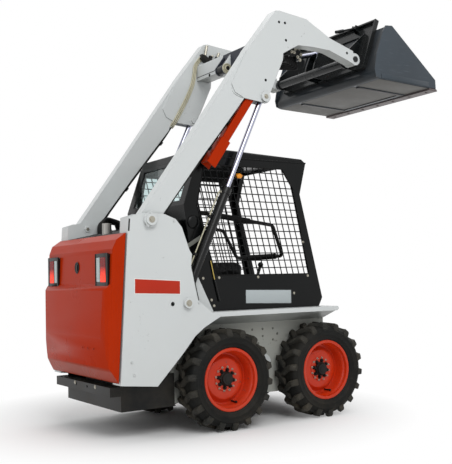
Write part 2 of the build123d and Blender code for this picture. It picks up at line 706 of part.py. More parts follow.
def make_bucket():
    """Bucket: bent back and floor sheet, side plates, top lip and wear strips."""
    inner_y = BUCKET_HALF_W - BUCKET_SIDE
    top = tach_point(352, 0)
    with BuildPart() as bucket:
        with BuildSketch(side_plane(inner_y)) as sheet:
            with BuildLine():
                FilletPolyline(at(*top), at(*FLOOR_REAR), at(*FLOOR_FRONT), radius=HEEL_R)
                offset(amount=BUCKET_SHEET, side=Side.LEFT)
            make_face()
        extrude(sheet.sketch, amount=2 * inner_y)
        for y in (BUCKET_HALF_W, -inner_y):
            extrude(side_face(BUCKET_SIDE_OUTLINE, y), amount=BUCKET_SIDE)
        lip_x, lip_z = top[0] + 41, top[1] + 3
        lip = [top, (lip_x, lip_z), (lip_x, lip_z - 12), tach_point(338, 0)]
        extrude(side_face(lip, inner_y), amount=2 * inner_y)
        for y in (STRIP_Y + STRIP_W / 2, -STRIP_Y + STRIP_W / 2):
            extrude(side_face(wear_strip(STRIP_REAR, STRIP_FRONT), y), amount=STRIP_W)
        extrude(side_face(wear_strip(STRIP_FRONT - STRIP_W, STRIP_FRONT), STRIP_Y),
                amount=2 * STRIP_Y)
    return bucket


def make_cutting_edge():
    """Cutting edge under the floor's front, bevelled, with its bolt holes."""
    rear = FLOOR_FRONT[0] - EDGE_DEPTH + 9
    profile = [(rear, 2487), FLOOR_FRONT, (1599, 2469), (rear, 2471)]
    with BuildPart() as edge:
        extrude(side_face(profile, BUCKET_HALF_W), amount=2 * BUCKET_HALF_W)
    return edge


# ---------------------------------------------------------------- cab
def make_cab_side():
    """Right cab side with its window cut and its front and rear posts."""
    with BuildPart() as side:
        extrude(side_face(CAB_OUTLINE, -CAB_Y + PLATE), amount=PLATE)
        extrude(side_face(CAB_WINDOW, -CAB_Y + PLATE), amount=PLATE, mode=Mode.SUBTRACT)
        front_post = [(387, CAB_TOP), (325, 1609), (512, 849), (478, FENDER_TOP),
                      (420, FENDER_TOP), (455, 849), (292, 1609), (345, CAB_TOP)]
        rear_post = [(-535, CAB_TOP), (-652, 1507), (-636, 1400), (-585, 1400), (-590, 1507),
                     (-518, CAB_TOP)]
        post_in_y = CAB_Y - PLATE - CAB_POST_W
        for post in (front_post, rear_post):
            extrude(side_face(post, -post_in_y), amount=CAB_POST_W)
        extrude(disc(SEAT_BAR_PIVOT, SEAT_BAR_PIN_R, -SEAT_BAR_Y + 14),
                amount=post_in_y - SEAT_BAR_Y + 14)
    return side


def make_side_screen():
    """Right side screen: a frame carrying upright wires and, behind them, level wires."""
    (low_x, low_z), (high_x, high_z) = (512, 849), (325, 1609)
    lean = (high_x - low_x) / (high_z - low_z)
    low, high, rear, front = 1020, 1792, -572, 404
    face_y = CAB_Y - PLATE
    depth = 2 * SCREEN_WIRE_T + RUN_GAP
    with BuildSketch(side_plane(-face_y)) as opening:
        with BuildLine():
            Polyline(*[at(*point) for point in CAB_WINDOW], close=True)
        make_face()
    with BuildPart() as screen:
        with BuildSketch(side_plane(-face_y)):
            add(opening.sketch)
            offset(amount=SCREEN_BORDER)
            add(opening.sketch, mode=Mode.SUBTRACT)
        extrude(amount=-depth)
        with BuildSketch(side_plane(-face_y)) as uprights:
            for start in range(rear - 200, front + 200, SCREEN_PITCH):
                foot, head = at(start - lean * (high - low), low), at(start, high)
                width = SCREEN_WIRE
                with BuildLine():
                    Polyline(foot, (foot[0] + width, foot[1]), (head[0] + width, head[1]), head,
                             close=True)
                make_face()
            add(opening.sketch, mode=Mode.INTERSECT)
        extrude(amount=-SCREEN_WIRE_T)
        with BuildSketch(side_plane(-face_y + SCREEN_WIRE_T + RUN_GAP)) as levels:
            for height in range(low, high, SCREEN_PITCH):
                rail = [(rear, height), (front, height), (front, height + SCREEN_WIRE),
                        (rear, height + SCREEN_WIRE)]
                with BuildLine():
                    Polyline(*[at(*point) for point in rail], close=True)
                make_face()
            add(opening.sketch, mode=Mode.INTERSECT)
        extrude(amount=-SCREEN_WIRE_T)
    return screen


def make_roof():
    """Cab roof: a rounded tray, open below."""
    with BuildPart() as roof:
        extrude(side_face(ROOF_OUTLINE, CAB_Y), amount=2 * CAB_Y)
        long_edges = roof.faces().filter_by(Axis.Y).edges() - roof.edges().group_by(Axis.Z)[0]
        fillet(long_edges, 22)
        inner = [(-533, CAB_TOP), (-520, 1884), (-300, 1890), (356, 1864), (376, CAB_TOP)]
        extrude(side_face(inner, CAB_Y - 12), amount=2 * (CAB_Y - 12), mode=Mode.SUBTRACT)
    return roof


def make_cab_rear():
    """Cab's rear wall with its window cut."""
    y = CAB_Y - PLATE
    wall = [(-545, CAB_TOP), (-662, 1507), (-600, 1050), (-446, FENDER_TOP),
            (-439, FENDER_TOP), (-593, 1050), (-654, 1507), (-537, CAB_TOP)]
    with BuildPart() as rear:
        extrude(side_face(wall, y), amount=2 * y)
        opening = [(-700, 1540), (-500, 1540), (-500, 1815), (-700, 1815)]
        extrude(side_face(opening, 345), amount=690, mode=Mode.SUBTRACT)
    return rear


def make_rear_window():
    """Rear window pane against the inner face of the rear wall."""
    slope = (545 - 662) / (1507 - CAB_TOP)

    def inner(z, depth):
        """Point inside the rear wall's inner face at height z."""
        return (-654 + slope * (z - 1507) + depth, z)

    with BuildPart() as pane:
        pane_side = [inner(1525, 0), inner(1828, 0), inner(1828, 5), inner(1525, 5)]
        extrude(side_face(pane_side, 360), amount=720)
    return pane


def make_cab_floor():
    """Cab base: side shelves on the fenders, seat box and the wall below it."""
    y = CAB_Y - PLATE
    box_y = CASE_IN_Y
    with BuildPart() as base:
        extrude(block(-430, -40, FENDER_TOP, SEAT_PAN_Z, y), amount=2 * y)
        extrude(block(-424, -46, FENDER_TOP, SEAT_PAN_Z - PLATE, y - PLATE), amount=2 * (y - PLATE),
                mode=Mode.SUBTRACT)
        extrude(block(-46, -40, FRAME_BOTTOM, FENDER_TOP, box_y), amount=2 * box_y)
        for edge in (y, -box_y):
            extrude(block(-46, 416, FENDER_TOP, FENDER_TOP + PLATE, edge), amount=y - box_y)
    return base


def make_seat():
    """Seat cushion and back as plain closed solids on the seat pan."""
    with BuildPart() as cushion:
        extrude(block(-330, -30, SEAT_PAN_Z, SEAT_PAN_Z + 110, 225), amount=450)
        fillet(cushion.edges().filter_by(Axis.Z), 40)
        fillet(cushion.faces().sort_by(Axis.Z)[-1].edges(), 24)
    back_side = [(-420, SEAT_PAN_Z), (-332, SEAT_PAN_Z), (-362, 1250), (-392, 1440),
                 (-470, 1440), (-450, 1250)]
    with BuildPart() as back:
        extrude(side_face(back_side, 215), amount=430)
        fillet(back.edges().filter_by(Axis.Y).sort_by(Axis.Z)[-2:], 26)
    return cushion, back


def make_tube(points, radius, bend):
    """Round tube along a path of (x, y, z) points with bends of one radius."""
    with BuildPart() as tube:
        with BuildLine():
            path = FilletPolyline(*points, radius=bend)
        with BuildSketch(Plane(origin=path @ 0, z_dir=path % 0)):
            Circle(radius)
        sweep()
    return tube


def make_steering_levers():
    """Two steering levers on one cross shaft between the chaincases."""
    shaft = (70, 600)
    with BuildPart() as levers:
        extrude(disc(shaft, 16, CASE_IN_Y), amount=2 * CASE_IN_Y)
        for y in (205, -205):
            x, z = at(*shaft)
            route = [(x, y, z), (x + 30, y, z + 260), (x + 10, y, z + 420), (x + 40, y, z + 500)]
            add(make_tube(route, 11, 60).part)
            top_x, top_z = x + 40, z + 500
            with Locations((top_x, y, top_z)):
                Sphere(20)
    return levers


def make_seat_bar():
    """Seat bar: two side tubes from their pivots and a bar across the operator's lap."""
    y = SEAT_BAR_Y
    px, pz = at(*SEAT_BAR_PIVOT)
    bx, bz = at(136, 1385)
    fx, fz = at(243, 1162)
    route = [(px, y, pz), (bx, y, bz), (fx, y - 30, fz), (fx, -y + 30, fz), (bx, -y, bz),
             (px, -y, pz)]
    with BuildPart() as bar:
        add(make_tube(route, 13, 40).part)
        for side in (1, -1):
            extrude(disc(SEAT_BAR_PIVOT, 18, side * y + 14), amount=28)
        extrude(disc(SEAT_BAR_PIVOT, SEAT_BAR_PIN_R + RUN_GAP, y + 20), amount=2 * y + 40,
                mode=Mode.SUBTRACT)
    return bar


# ---------------------------------------------------------------- tailgate and rear grille
def gate_body(inset):
    """Tailgate's closed form, every face moved inwards by inset."""
    half = TAILGATE_Y - inset
    past = half + 10
    rear_x, _ = at(min(x for x, _ in TAILGATE_OUTLINE) + inset - 1, 0)
    front_x, _ = at(-1100, 0)
    with BuildPart() as body:
        with BuildSketch(side_plane(past)):
            with BuildLine():
                Polyline(*[at(*point) for point in TAILGATE_OUTLINE], close=True)
            make_face()
            if inset:
                offset(amount=-inset)
        extrude(amount=2 * past)
        with BuildSketch(level(0)) as plan:
            with Locations(((rear_x + front_x) / 2, 0)):
                Rectangle(front_x - rear_x, 2 * half)
            fillet(plan.vertices().sort_by(Axis.X)[:2], TAILGATE_CORNER_R - inset)
        extrude(amount=CAB_TOP, mode=Mode.INTERSECT)
    return body


def make_tailgate():
    """Tailgate shell, open to the front, with lamp openings and hinge knuckles."""
    with BuildPart() as gate:
        add(gate_body(0).part)
        hollow = gate_body(TAILGATE_SHEET).part
        add(hollow, mode=Mode.SUBTRACT)
        add(hollow.moved(Location((2 * TAILGATE_SHEET, 0, 0))), mode=Mode.SUBTRACT)
        for y in (LAMP_Y, -LAMP_Y):
            extrude(block(-1280, -1220, LAMP_LOW - RUN_GAP, LAMP_HIGH + RUN_GAP,
                          y + LAMP_W / 2 + RUN_GAP),
                    amount=LAMP_W + 2 * RUN_GAP, mode=Mode.SUBTRACT)
        for height in GATE_HINGE_HEIGHTS:
            hinge = gate_hinge_plane(height)
            with BuildSketch(hinge):
                with Locations((10, -6)):
                    Rectangle(30, 48)
            extrude(amount=KNUCKLE_HALF + 5, both=True, mode=Mode.SUBTRACT)
            for start in (KNUCKLE_HALF + 1, -3 * KNUCKLE_HALF + 4):
                with BuildSketch(hinge.offset(start)):
                    Circle(KNUCKLE_R)
                extrude(amount=2 * KNUCKLE_HALF - 5)
            with BuildSketch(hinge):
                Circle(HINGE_PIN_R + RUN_GAP)
            extrude(amount=3 * KNUCKLE_HALF + 1, both=True, mode=Mode.SUBTRACT)
    return gate


def make_tail_lamp():
    """Right tail lamp's housing, set in the tailgate's opening."""
    with BuildPart() as lamp:
        extrude(block(-1256, -1228, LAMP_LOW, LAMP_HIGH, -LAMP_Y + LAMP_W / 2), amount=LAMP_W)
        fillet(lamp.edges().filter_by(Axis.X), 10)
    return lamp


def add_lid_brackets():
    """Rear grille's hinge brackets and pins, drawn into the part in progress."""
    for y in LID_HINGE_YS:
        extrude(disc(LID_HINGE, LID_KNUCKLE_R, y + 15), amount=30)
        extrude(block(-720, FIREWALL_X + PLATE, 1366, 1386, y + 15), amount=30)
        extrude(disc(LID_HINGE, HINGE_PIN_R, y + 45), amount=90)


def make_rear_grille():
    """Slotted lid over the engine, notched round the tail pipe, with hinge knuckles."""
    lid = [(-1130, 1303), (-704, 1394), (-704, 1400), (-1130, 1309)]
    slope = (1394 - 1303) / (1130 - 704)
    with BuildPart() as grille:
        extrude(side_face(lid, LID_Y), amount=2 * LID_Y)
        for side in (1, -1):
            for slot in range(7):
                rear = -1108 + 50 * slot
                z = 1303 + slope * (rear + 1130)
                cut = [(rear, z - 20), (rear + 26, z - 20), (rear + 26, z + 30), (rear, z + 30)]
                extrude(side_face(cut, 370 if side > 0 else -90), amount=280, mode=Mode.SUBTRACT)
        extrude(block(-1140, -975, 1280, 1360, 50), amount=100, mode=Mode.SUBTRACT)
        for y in LID_HINGE_YS:
            extrude(block(-735, -700, 1370, 1410, y + 20), amount=40, mode=Mode.SUBTRACT)
            for edge in (y + 44, y - 16):
                extrude(disc(LID_HINGE, LID_KNUCKLE_R, edge), amount=28)
            extrude(disc(LID_HINGE, HINGE_PIN_R + RUN_GAP, y + 45), amount=90,
                    mode=Mode.SUBTRACT)
    return grille


# ---------------------------------------------------------------- all pieces
write_both(make_chaincase(), "chaincases")
upright_right = make_upright()
finish(upright_right, "upright_right")
finish(make_left_upright(upright_right), "upright_left")
finish(make_lower_frame(), "lower_frame")
finish(make_bumper(), "rear_bumper")
finish(make_engine(), "engine_block")
finish(make_muffler(), "muffler")
write_pair(make_arm(), "arm")
finish(make_cross_member(), "cross_member")
finish(make_support_bar(), "support_bar")
lift_rise = rise(LIFT_BASE, LIFT_EYE)
write_pair(make_barrel(LIFT_BASE, LIFT_Y, lift_rise, LIFT_BARREL_END, BASE_PIN_R, LIFT_ROD_R),
           "lift_barrel")
write_pair(make_rod(LIFT_BASE, LIFT_EYE, LIFT_Y, lift_rise, LIFT_ROD_LENGTH, LIFT_ROD_R),
           "lift_rod")
tilt_rise = rise(TILT_BASE, TILT_EYE)
finish(make_barrel(TILT_BASE, 0, tilt_rise, TILT_BARREL_END, CLEVIS_PIN_R, LIFT_ROD_R),
       "tilt_barrel")
finish(make_rod(TILT_BASE, TILT_EYE, 0, tilt_rise, TILT_ROD_LENGTH, LIFT_ROD_R), "tilt_rod")
finish(make_tach_frame(), "tach_frame")
for lever_name, lever_y in (("tach_lever_right", -LEVER_Y), ("tach_lever_left", LEVER_Y)):
    finish(make_lever(lever_y), lever_name)
finish(make_bucket(), "bucket")
finish(make_cutting_edge(), "cutting_edge")
write_pair(make_cab_side(), "cab_side")
write_both(make_side_screen(), "side_screens")
finish(make_roof(), "cab_roof")
finish(make_cab_rear(), "cab_rear")
finish(make_rear_window(), "rear_window")
finish(make_cab_floor(), "cab_floor")
seat_cushion, seat_back = make_seat()
finish(seat_cushion, "seat_cushion")
finish(seat_back, "seat_back")
finish(make_steering_levers(), "steering_levers")
finish(make_seat_bar(), "seat_bar")
finish(make_tailgate(), "tailgate")
write_both(make_tail_lamp(), "tail_lamps")
finish(make_rear_grille(), "rear_grille")
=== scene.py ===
"""Dresses a compact skid steer loader: studio, finishes and the pieces added to its frame.

Lengths in meshes are metres. Places named (forward, y, height) are millimetres: forward of
mid-wheelbase, to the machine's left, and up from the ground.
"""
import json
import logging
import math
from dataclasses import dataclass, field
from enum import Enum

import bmesh
import bpy
from mathutils import Matrix, Vector


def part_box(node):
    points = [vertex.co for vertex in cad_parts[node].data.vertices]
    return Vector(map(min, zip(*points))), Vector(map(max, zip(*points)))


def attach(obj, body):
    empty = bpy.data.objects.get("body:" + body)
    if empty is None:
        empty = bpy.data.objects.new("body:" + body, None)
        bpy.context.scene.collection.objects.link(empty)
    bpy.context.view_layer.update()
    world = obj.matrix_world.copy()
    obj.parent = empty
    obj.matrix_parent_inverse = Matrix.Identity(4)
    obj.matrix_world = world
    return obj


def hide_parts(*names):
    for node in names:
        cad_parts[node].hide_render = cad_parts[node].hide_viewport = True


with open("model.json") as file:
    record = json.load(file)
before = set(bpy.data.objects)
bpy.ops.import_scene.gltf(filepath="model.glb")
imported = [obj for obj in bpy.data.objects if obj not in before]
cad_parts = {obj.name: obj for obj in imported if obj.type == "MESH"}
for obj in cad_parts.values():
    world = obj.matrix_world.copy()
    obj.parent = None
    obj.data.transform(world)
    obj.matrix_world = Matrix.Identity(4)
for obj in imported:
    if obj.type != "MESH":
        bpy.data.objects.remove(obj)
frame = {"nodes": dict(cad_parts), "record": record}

Colour = tuple[float, float, float, float]
Point = tuple[float, float, float]
Flat = tuple[float, float]

LOG = logging.getLogger("loader")
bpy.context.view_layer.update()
MID_X = -0.150  # mid-wheelbase on the frame's X axis, in metres


class Side(Enum):
    """Side of the machine; the value is the sign of Y."""

    RIGHT = -1
    LEFT = 1

    @property
    def tag(self) -> str:
        """Ending of the names of this side's pieces."""
        return self.name.lower()

    @property
    def other(self) -> "Side":
        """The opposite side."""
        return Side(-self.value)

    def span(self, near: float, far: float) -> Flat:
        """Lowest and highest y between two distances from the centre plane."""
        low, high = sorted((self.value * near, self.value * far))
        return low, high


def rgb(red: int, green: int, blue: int) -> Colour:
    """Linear colour of an 8-bit display colour."""

    def linear(value: int) -> float:
        """One channel, linear."""
        v = value / 255.0
        return v / 12.92 if v <= 0.04045 else ((v + 0.055) / 1.055) ** 2.4

    return (linear(red), linear(green), linear(blue), 1.0)


def mm(value: float) -> float:
    """Millimetres in metres."""
    return value / 1000.0


def at(forward: float, height: float) -> Flat:
    """Side-view point in millimetres as (x, z) in the frame."""
    return (MID_X + mm(forward), mm(height))


def spot(forward: float, y: float, height: float) -> Point:
    """Point in millimetres as (x, y, z) in the frame."""
    x, z = at(forward, height)
    return (x, mm(y), z)


class Facing(Enum):
    """Direction that a fastener's head looks in, as the turn that points +Z there."""

    RIGHT = (math.pi / 2, 0.0, 0.0)
    LEFT = (-math.pi / 2, 0.0, 0.0)
    REAR = (0.0, -math.pi / 2, 0.0)
    UP = (0.0, 0.0, 0.0)
    DOWN = (math.pi, 0.0, 0.0)

    @classmethod
    def outward(cls, side: Side) -> "Facing":
        """Facing away from the machine on one side."""
        return cls.RIGHT if side is Side.RIGHT else cls.LEFT


# ------------------------------------------------------------------ node trees
class NodeBoard:
    """Adds and links the nodes of one shader or geometry tree."""

    def __init__(self, tree: bpy.types.NodeTree) -> None:
        """Start on an empty tree."""
        self.tree = tree
        self.count = 0

    def add(self, kind: str, inputs: dict | None = None, **props: object) -> bpy.types.Node:
        """Add a node.

        Args:
            kind: The node's Blender type name.
            inputs: Socket name or number to a value or an output socket.
            props: Attributes of the node.

        Returns:
            The new node.
        """
        node = self.tree.nodes.new(kind)
        node.location = (180 * self.count, 0)
        self.count += 1
        for key, value in props.items():
            setattr(node, key, value)
        for key, value in (inputs or {}).items():
            if isinstance(value, bpy.types.NodeSocket):
                self.tree.links.new(value, node.inputs[key])
            else:
                node.inputs[key].default_value = value
        return node

    def maths(self, operation: str, a: object, b: object = 0.0) -> bpy.types.NodeSocket:
        """Value of a math operation on two numbers or sockets."""
        return self.add("ShaderNodeMath", {0: a, 1: b}, operation=operation).outputs[0]

    def product(self, first: object, *factors: object) -> bpy.types.NodeSocket:
        """Product of numbers or sockets."""
        for factor in factors:
            first = self.maths("MULTIPLY", first, factor)
        return first

    def scaled(self, vector: object, scale: object) -> bpy.types.NodeSocket:
        """Vector or colour times a scale."""
        return self.add("ShaderNodeVectorMath", {0: vector, 3: scale},
                        operation="SCALE").outputs[0]

    def height_of(self, vector: object) -> bpy.types.NodeSocket:
        """The vector's Z."""
        return self.add("ShaderNodeSeparateXYZ", {0: vector}).outputs[2]

    def local(self) -> bpy.types.NodeSocket:
        """Object coordinates."""
        return self.add("ShaderNodeTexCoord").outputs["Object"]

    def normal(self) -> bpy.types.NodeSocket:
        """Direction that the surface looks in."""
        return self.add("ShaderNodeNewGeometry").outputs["Normal"]

    def noise(self, place: object, detail: float, rough: float = 0.5,
              scale: float = 1.0) -> bpy.types.NodeSocket:
        """Noise at a place."""
        return self.add("ShaderNodeTexNoise", {"Vector": place, "Scale": scale,
                                               "Detail": detail, "Roughness": rough}
                        ).outputs["Fac"]

    def blend(self, factor: object, a: object, b: object) -> bpy.types.NodeSocket:
        """Colour mixed from a to b by factor."""
        return self.add("ShaderNodeMix", {0: factor, 6: a, 7: b}, data_type="RGBA").outputs[2]

    def ramp(self, value: object, low: object, high: object, start: float = 0.0,
             end: float = 1.0) -> bpy.types.NodeSocket:
        """Value mapped from low..high to start..end and clamped."""
        return self.add("ShaderNodeMapRange", {0: value, 1: low, 2: high, 3: start, 4: end},
                        clamp=True).outputs[0]

    def group(self, tree: bpy.types.NodeTree, values: dict) -> bpy.types.Node:
        """Place a shared group with its values."""
        return self.add("ShaderNodeGroup", values, node_tree=tree)

    def seen(self) -> bpy.types.NodeSocket:
        """1 where a ray sees the surface straight, mirrored or through glass, else 0."""
        path = self.add("ShaderNodeLightPath").outputs
        mirrored = self.maths("MAXIMUM", path["Is Glossy Ray"], path["Is Transmission Ray"])
        return self.maths("MAXIMUM", path["Is Camera Ray"], mirrored)

    def principled(self, inputs: dict) -> None:
        """Add the material's Principled shader and its output."""
        surface = self.add("ShaderNodeBsdfPrincipled", inputs)
        self.add("ShaderNodeOutputMaterial", {"Surface": surface.outputs[0]})

    def end(self, leave: bpy.types.Node, *values: bpy.types.NodeSocket) -> bpy.types.NodeTree:
        """Link the group's outputs in order and return its tree."""
        for index, value in enumerate(values):
            self.tree.links.new(value, leave.inputs[index])
        return self.tree


def node_group(kind: str, name: str, inputs: list[tuple[str, str, object]],
               outputs: list[tuple[str, str]]) -> tuple[NodeBoard, dict, bpy.types.Node]:
    """Make an empty node group.

    Args:
        kind: "Shader" or "Geometry".
        name: Name of the group.
        inputs: Name, socket kind and default, or None, of each input.
        outputs: Name and socket kind of each output.

    Returns:
        The board, the input sockets by name and the output node.
    """
    tree = bpy.data.node_groups.new(name, f"{kind}NodeTree")
    for label, socket_kind, default in inputs:
        socket = tree.interface.new_socket(label, in_out="INPUT",
                                           socket_type=f"NodeSocket{socket_kind}")
        if default is not None:
            socket.default_value = default
    for label, socket_kind in outputs:
        tree.interface.new_socket(label, in_out="OUTPUT",
                                  socket_type=f"NodeSocket{socket_kind}")
    board = NodeBoard(tree)
    entry, leave = board.add("NodeGroupInput"), board.add("NodeGroupOutput")
    return board, {s.name: s for s in entry.outputs if s.name}, leave


def fresh_tree(owner: bpy.types.ID) -> NodeBoard:
    """Board on the emptied node tree of a material or a world."""
    owner.use_nodes = True
    owner.node_tree.nodes.clear()
    return NodeBoard(owner.node_tree)


# ------------------------------------------------------------------ shader groups
def mottle_group() -> bpy.types.NodeTree:
    """Slow change of a colour and of its gloss over the surface."""
    board, given, leave = node_group(
        "Shader", "Mottle", [("Color", "Color", (0.5, 0.5, 0.5, 1)), ("Scale", "Float", 3.0),
                             ("Amount", "Float", 0.1)],
        [("Color", "Color"), ("Value", "Float")])
    noise = board.noise(board.scaled(board.local(), given["Scale"]), 5.0, 0.6)
    swing = board.product(board.maths("SUBTRACT", noise, 0.5), given["Amount"])
    gain = board.maths("ADD", 1.0, board.product(swing, 2.0))
    return board.end(leave, board.scaled(given["Color"], gain), noise)


def dust_group() -> bpy.types.NodeTree:
    """Dust that settles low on the machine and on faces that look up."""
    board, given, leave = node_group(
        "Shader", "Dust", [("Amount", "Float", 0.2), ("Low", "Float", 0.0),
                           ("High", "Float", 0.8)], [("Mask", "Float")])
    near = board.ramp(board.height_of(board.local()), given["Low"], given["High"], 1.0, 0.25)
    upward = board.ramp(board.height_of(board.normal()), -0.2, 1.0, 0.45, 1.0)
    cloud = board.noise(board.scaled(board.local(), 6.0), 8.0, 0.65)
    patch = board.ramp(cloud, 0.38, 0.72)
    return board.end(leave, board.product(near, upward, patch, given["Amount"]))


def grain_group() -> bpy.types.NodeTree:
    """Fine even grain of paint, rubber or moulded plastic, as a height."""
    board, given, leave = node_group("Shader", "Grain", [("Scale", "Float", 300.0)],
                                     [("Height", "Float")])
    place = board.scaled(board.local(), given["Scale"])
    pits = board.add("ShaderNodeTexVoronoi", {"Vector": place, "Scale": 0.6}).outputs[0]
    return board.end(leave, board.maths("ADD", board.noise(place, 3.0),
                                        board.product(pits, 0.4)))


def scuff_group() -> bpy.types.NodeTree:
    """Long thin scuffs in two directions, as a mask."""
    board, given, leave = node_group(
        "Shader", "Scuffs", [("Scale", "Float", 8.0), ("Amount", "Float", 0.5)],
        [("Mask", "Float")])
    masks = []
    for turn, seed in (((0.3, 0.9, 0.2), 0.0), ((1.1, 0.2, 1.4), 7.0)):
        turned = board.add("ShaderNodeMapping", {
            "Vector": board.scaled(board.local(), given["Scale"]), "Rotation": turn,
            "Location": (seed, seed, 0.0), "Scale": (1.0, 14.0, 14.0)}).outputs[0]
        masks.append(board.ramp(board.noise(turned, 6.0), 0.62, 0.72))
    return board.end(leave, board.product(board.maths("MAXIMUM", *masks), given["Amount"]))


def turned_group() -> bpy.types.NodeTree:
    """Faces turned towards one direction, in patches, as a mask."""
    board, given, leave = node_group(
        "Shader", "Turned", [("Towards", "Vector", (0.0, 0.0, -1.0)),
                             ("Amount", "Float", 0.5)], [("Mask", "Float")])
    facing = board.add("ShaderNodeVectorMath", {0: board.normal(), 1: given["Towards"]},
                       operation="DOT_PRODUCT").outputs["Value"]
    cloud = board.noise(board.scaled(board.local(), 4.0), 6.0)
    return board.end(leave, board.product(board.ramp(facing, 0.15, 0.7),
                                          board.ramp(cloud, 0.3, 0.65, 0.55, 1.0),
                                          given["Amount"]))


def chip_group() -> bpy.types.NodeTree:
    """Small chips in the paint, as a mask."""
    board, given, leave = node_group(
        "Shader", "Chips", [("Scale", "Float", 30.0), ("Amount", "Float", 0.3)],
        [("Mask", "Float")])
    place = board.scaled(board.local(), given["Scale"])
    broad = board.maths("SUBTRACT", board.noise(place, 2.0, scale=0.12), 0.5)
    cover = board.maths("ADD", board.noise(place, 7.0, 0.7), board.product(broad, 0.5))
    return board.end(leave, board.product(board.ramp(cover, 0.70, 0.74), given["Amount"]))


@dataclass
class GroupShelf:
    """The shader groups that several finishes share, each built once."""

    mottle: bpy.types.NodeTree = field(default_factory=mottle_group)
    dust: bpy.types.NodeTree = field(default_factory=dust_group)
    grain: bpy.types.NodeTree = field(default_factory=grain_group)
    scuffs: bpy.types.NodeTree = field(default_factory=scuff_group)
    chips: bpy.types.NodeTree = field(default_factory=chip_group)
    turned: bpy.types.NodeTree = field(default_factory=turned_group)


# ------------------------------------------------------------------ finishes
DUST = rgb(150, 138, 118)
# Colour of the painted shade on faces that look down.
UNDERSIDE_SHADE = rgb(84, 86, 74)
REARWARD = (-0.96, 0.0, -0.28)  # direction of the bucket's back plate
# How fully rear-facing faces take their painted shade.
REAR_SHADE_COVER = 0.95
BLACK = (0.0, 0.0, 0.0, 1.0)
WHITE = (1.0, 1.0, 1.0, 1.0)


@dataclass(frozen=True)
class Finish:
    """A paint, plastic, rubber or metal: grain, dust, wear and painted shade."""

    name: str
    colour: Colour
    roughness: float = 0.4
    metallic: float = 0.0
    coat: float = 0.0
    mottle: float = 0.05
    mottle_scale: float = 3.0
    grain: float = 0.02
    grain_scale: float = 300.0
    dust: float = 0.15
    scuffs: float = 0.0
    scuff_colour: Colour = rgb(150, 150, 150)
    chips: float = 0.0
    chip_colour: Colour = rgb(70, 68, 66)
    specular: float = 0.25
    edge: float = 0.0025
    # Amount of painted shade, in patches, on faces that look down.
    grime: float = 0.0
    # Near-black painted shade on faces that look to the rear.
    rear_tone: Colour | None = None

    def material(self, shelf: GroupShelf) -> bpy.types.Material:
        """Build the finish's material from the shared groups."""
        made = bpy.data.materials.new(self.name)
        board = fresh_tree(made)
        mottle = board.group(shelf.mottle, {"Color": self.colour, "Scale": self.mottle_scale,
                                            "Amount": self.mottle})
        colour = mottle.outputs["Color"]
        gloss = board.ramp(mottle.outputs["Value"], 0.3, 0.7, self.roughness * 0.85,
                           min(1.0, self.roughness * 1.18))
        for tree, amount, tone, more in (
                (shelf.scuffs, self.scuffs, self.scuff_colour, {}),
                (shelf.chips, self.chips, self.chip_colour, {}),
                # Painted shade on faces that look down.
                (shelf.turned, self.grime, UNDERSIDE_SHADE, {}),
                # Painted shade on faces that look to the rear.
                (shelf.turned, REAR_SHADE_COVER if self.rear_tone else 0.0, self.rear_tone,
                 {"Towards": REARWARD})):
            if amount:
                mask = board.group(tree, dict(more, Amount=amount)).outputs[0]
                colour = board.blend(mask, colour, tone)
        if self.dust:
            mask = board.group(shelf.dust, {"Amount": self.dust}).outputs[0]
            colour = board.blend(mask, colour, DUST)
            gloss = board.maths("ADD", gloss, board.product(mask, 0.5))
        height = board.group(shelf.grain, {"Scale": self.grain_scale}).outputs[0]
        rounded = board.add("ShaderNodeBevel", {"Radius": self.edge}, samples=4).outputs[0]
        bump = board.add("ShaderNodeBump", {"Height": height, "Strength": self.grain,
                                            "Distance": 0.001, "Normal": rounded}).outputs[0]
        board.principled({"Base Color": colour, "Roughness": gloss, "Metallic": self.metallic,
                          "Coat Weight": self.coat, "Coat Roughness": 0.08, "Normal": bump,
                          "Specular IOR Level": self.specular})
        return made


@dataclass(frozen=True)
class Glass:
    """Tinted clear glass."""

    name: str
    colour: Colour
    roughness: float = 0.02

    def material(self, shelf: GroupShelf) -> bpy.types.Material:
        """Build the glass, with a faint film of dust on it."""
        made = bpy.data.materials.new(self.name)
        board = fresh_tree(made)
        mottle = board.group(shelf.mottle, {"Color": self.colour, "Amount": 0.03})
        film = board.ramp(mottle.outputs["Value"], 0.4, 0.8, self.roughness,
                          self.roughness + 0.06)
        board.principled({"Base Color": mottle.outputs["Color"], "Roughness": film,
                          "IOR": 1.45, "Transmission Weight": 1.0})
        return made


@dataclass(frozen=True)
class LitLens:
    """Lamp lens with a painted glow low down, from full at low to none at high, in metres."""

    name: str
    colour: Colour
    glow: Colour
    low: float
    high: float
    strength: float

    def material(self, shelf: GroupShelf) -> bpy.types.Material:
        """Build the lens: moulded dots, and a painted glow that fades upwards."""
        made = bpy.data.materials.new(self.name)
        board = fresh_tree(made)
        place = board.local()
        glow_share = board.ramp(board.height_of(place), self.low, self.high, 1.0, 0.0)
        dots = board.add("ShaderNodeTexVoronoi", {"Vector": place, "Scale": 90.0}).outputs[0]
        mottle = board.group(shelf.mottle, {"Color": self.colour})
        bump = board.add("ShaderNodeBump", {"Height": dots, "Strength": 0.4,
                                            "Distance": 0.002}).outputs[0]
        board.principled({"Base Color": mottle.outputs["Color"], "Roughness": 0.12,
                          "Normal": bump, "Emission Color": board.blend(glow_share, BLACK, self.glow),
                          "Emission Strength": self.strength})
        return made


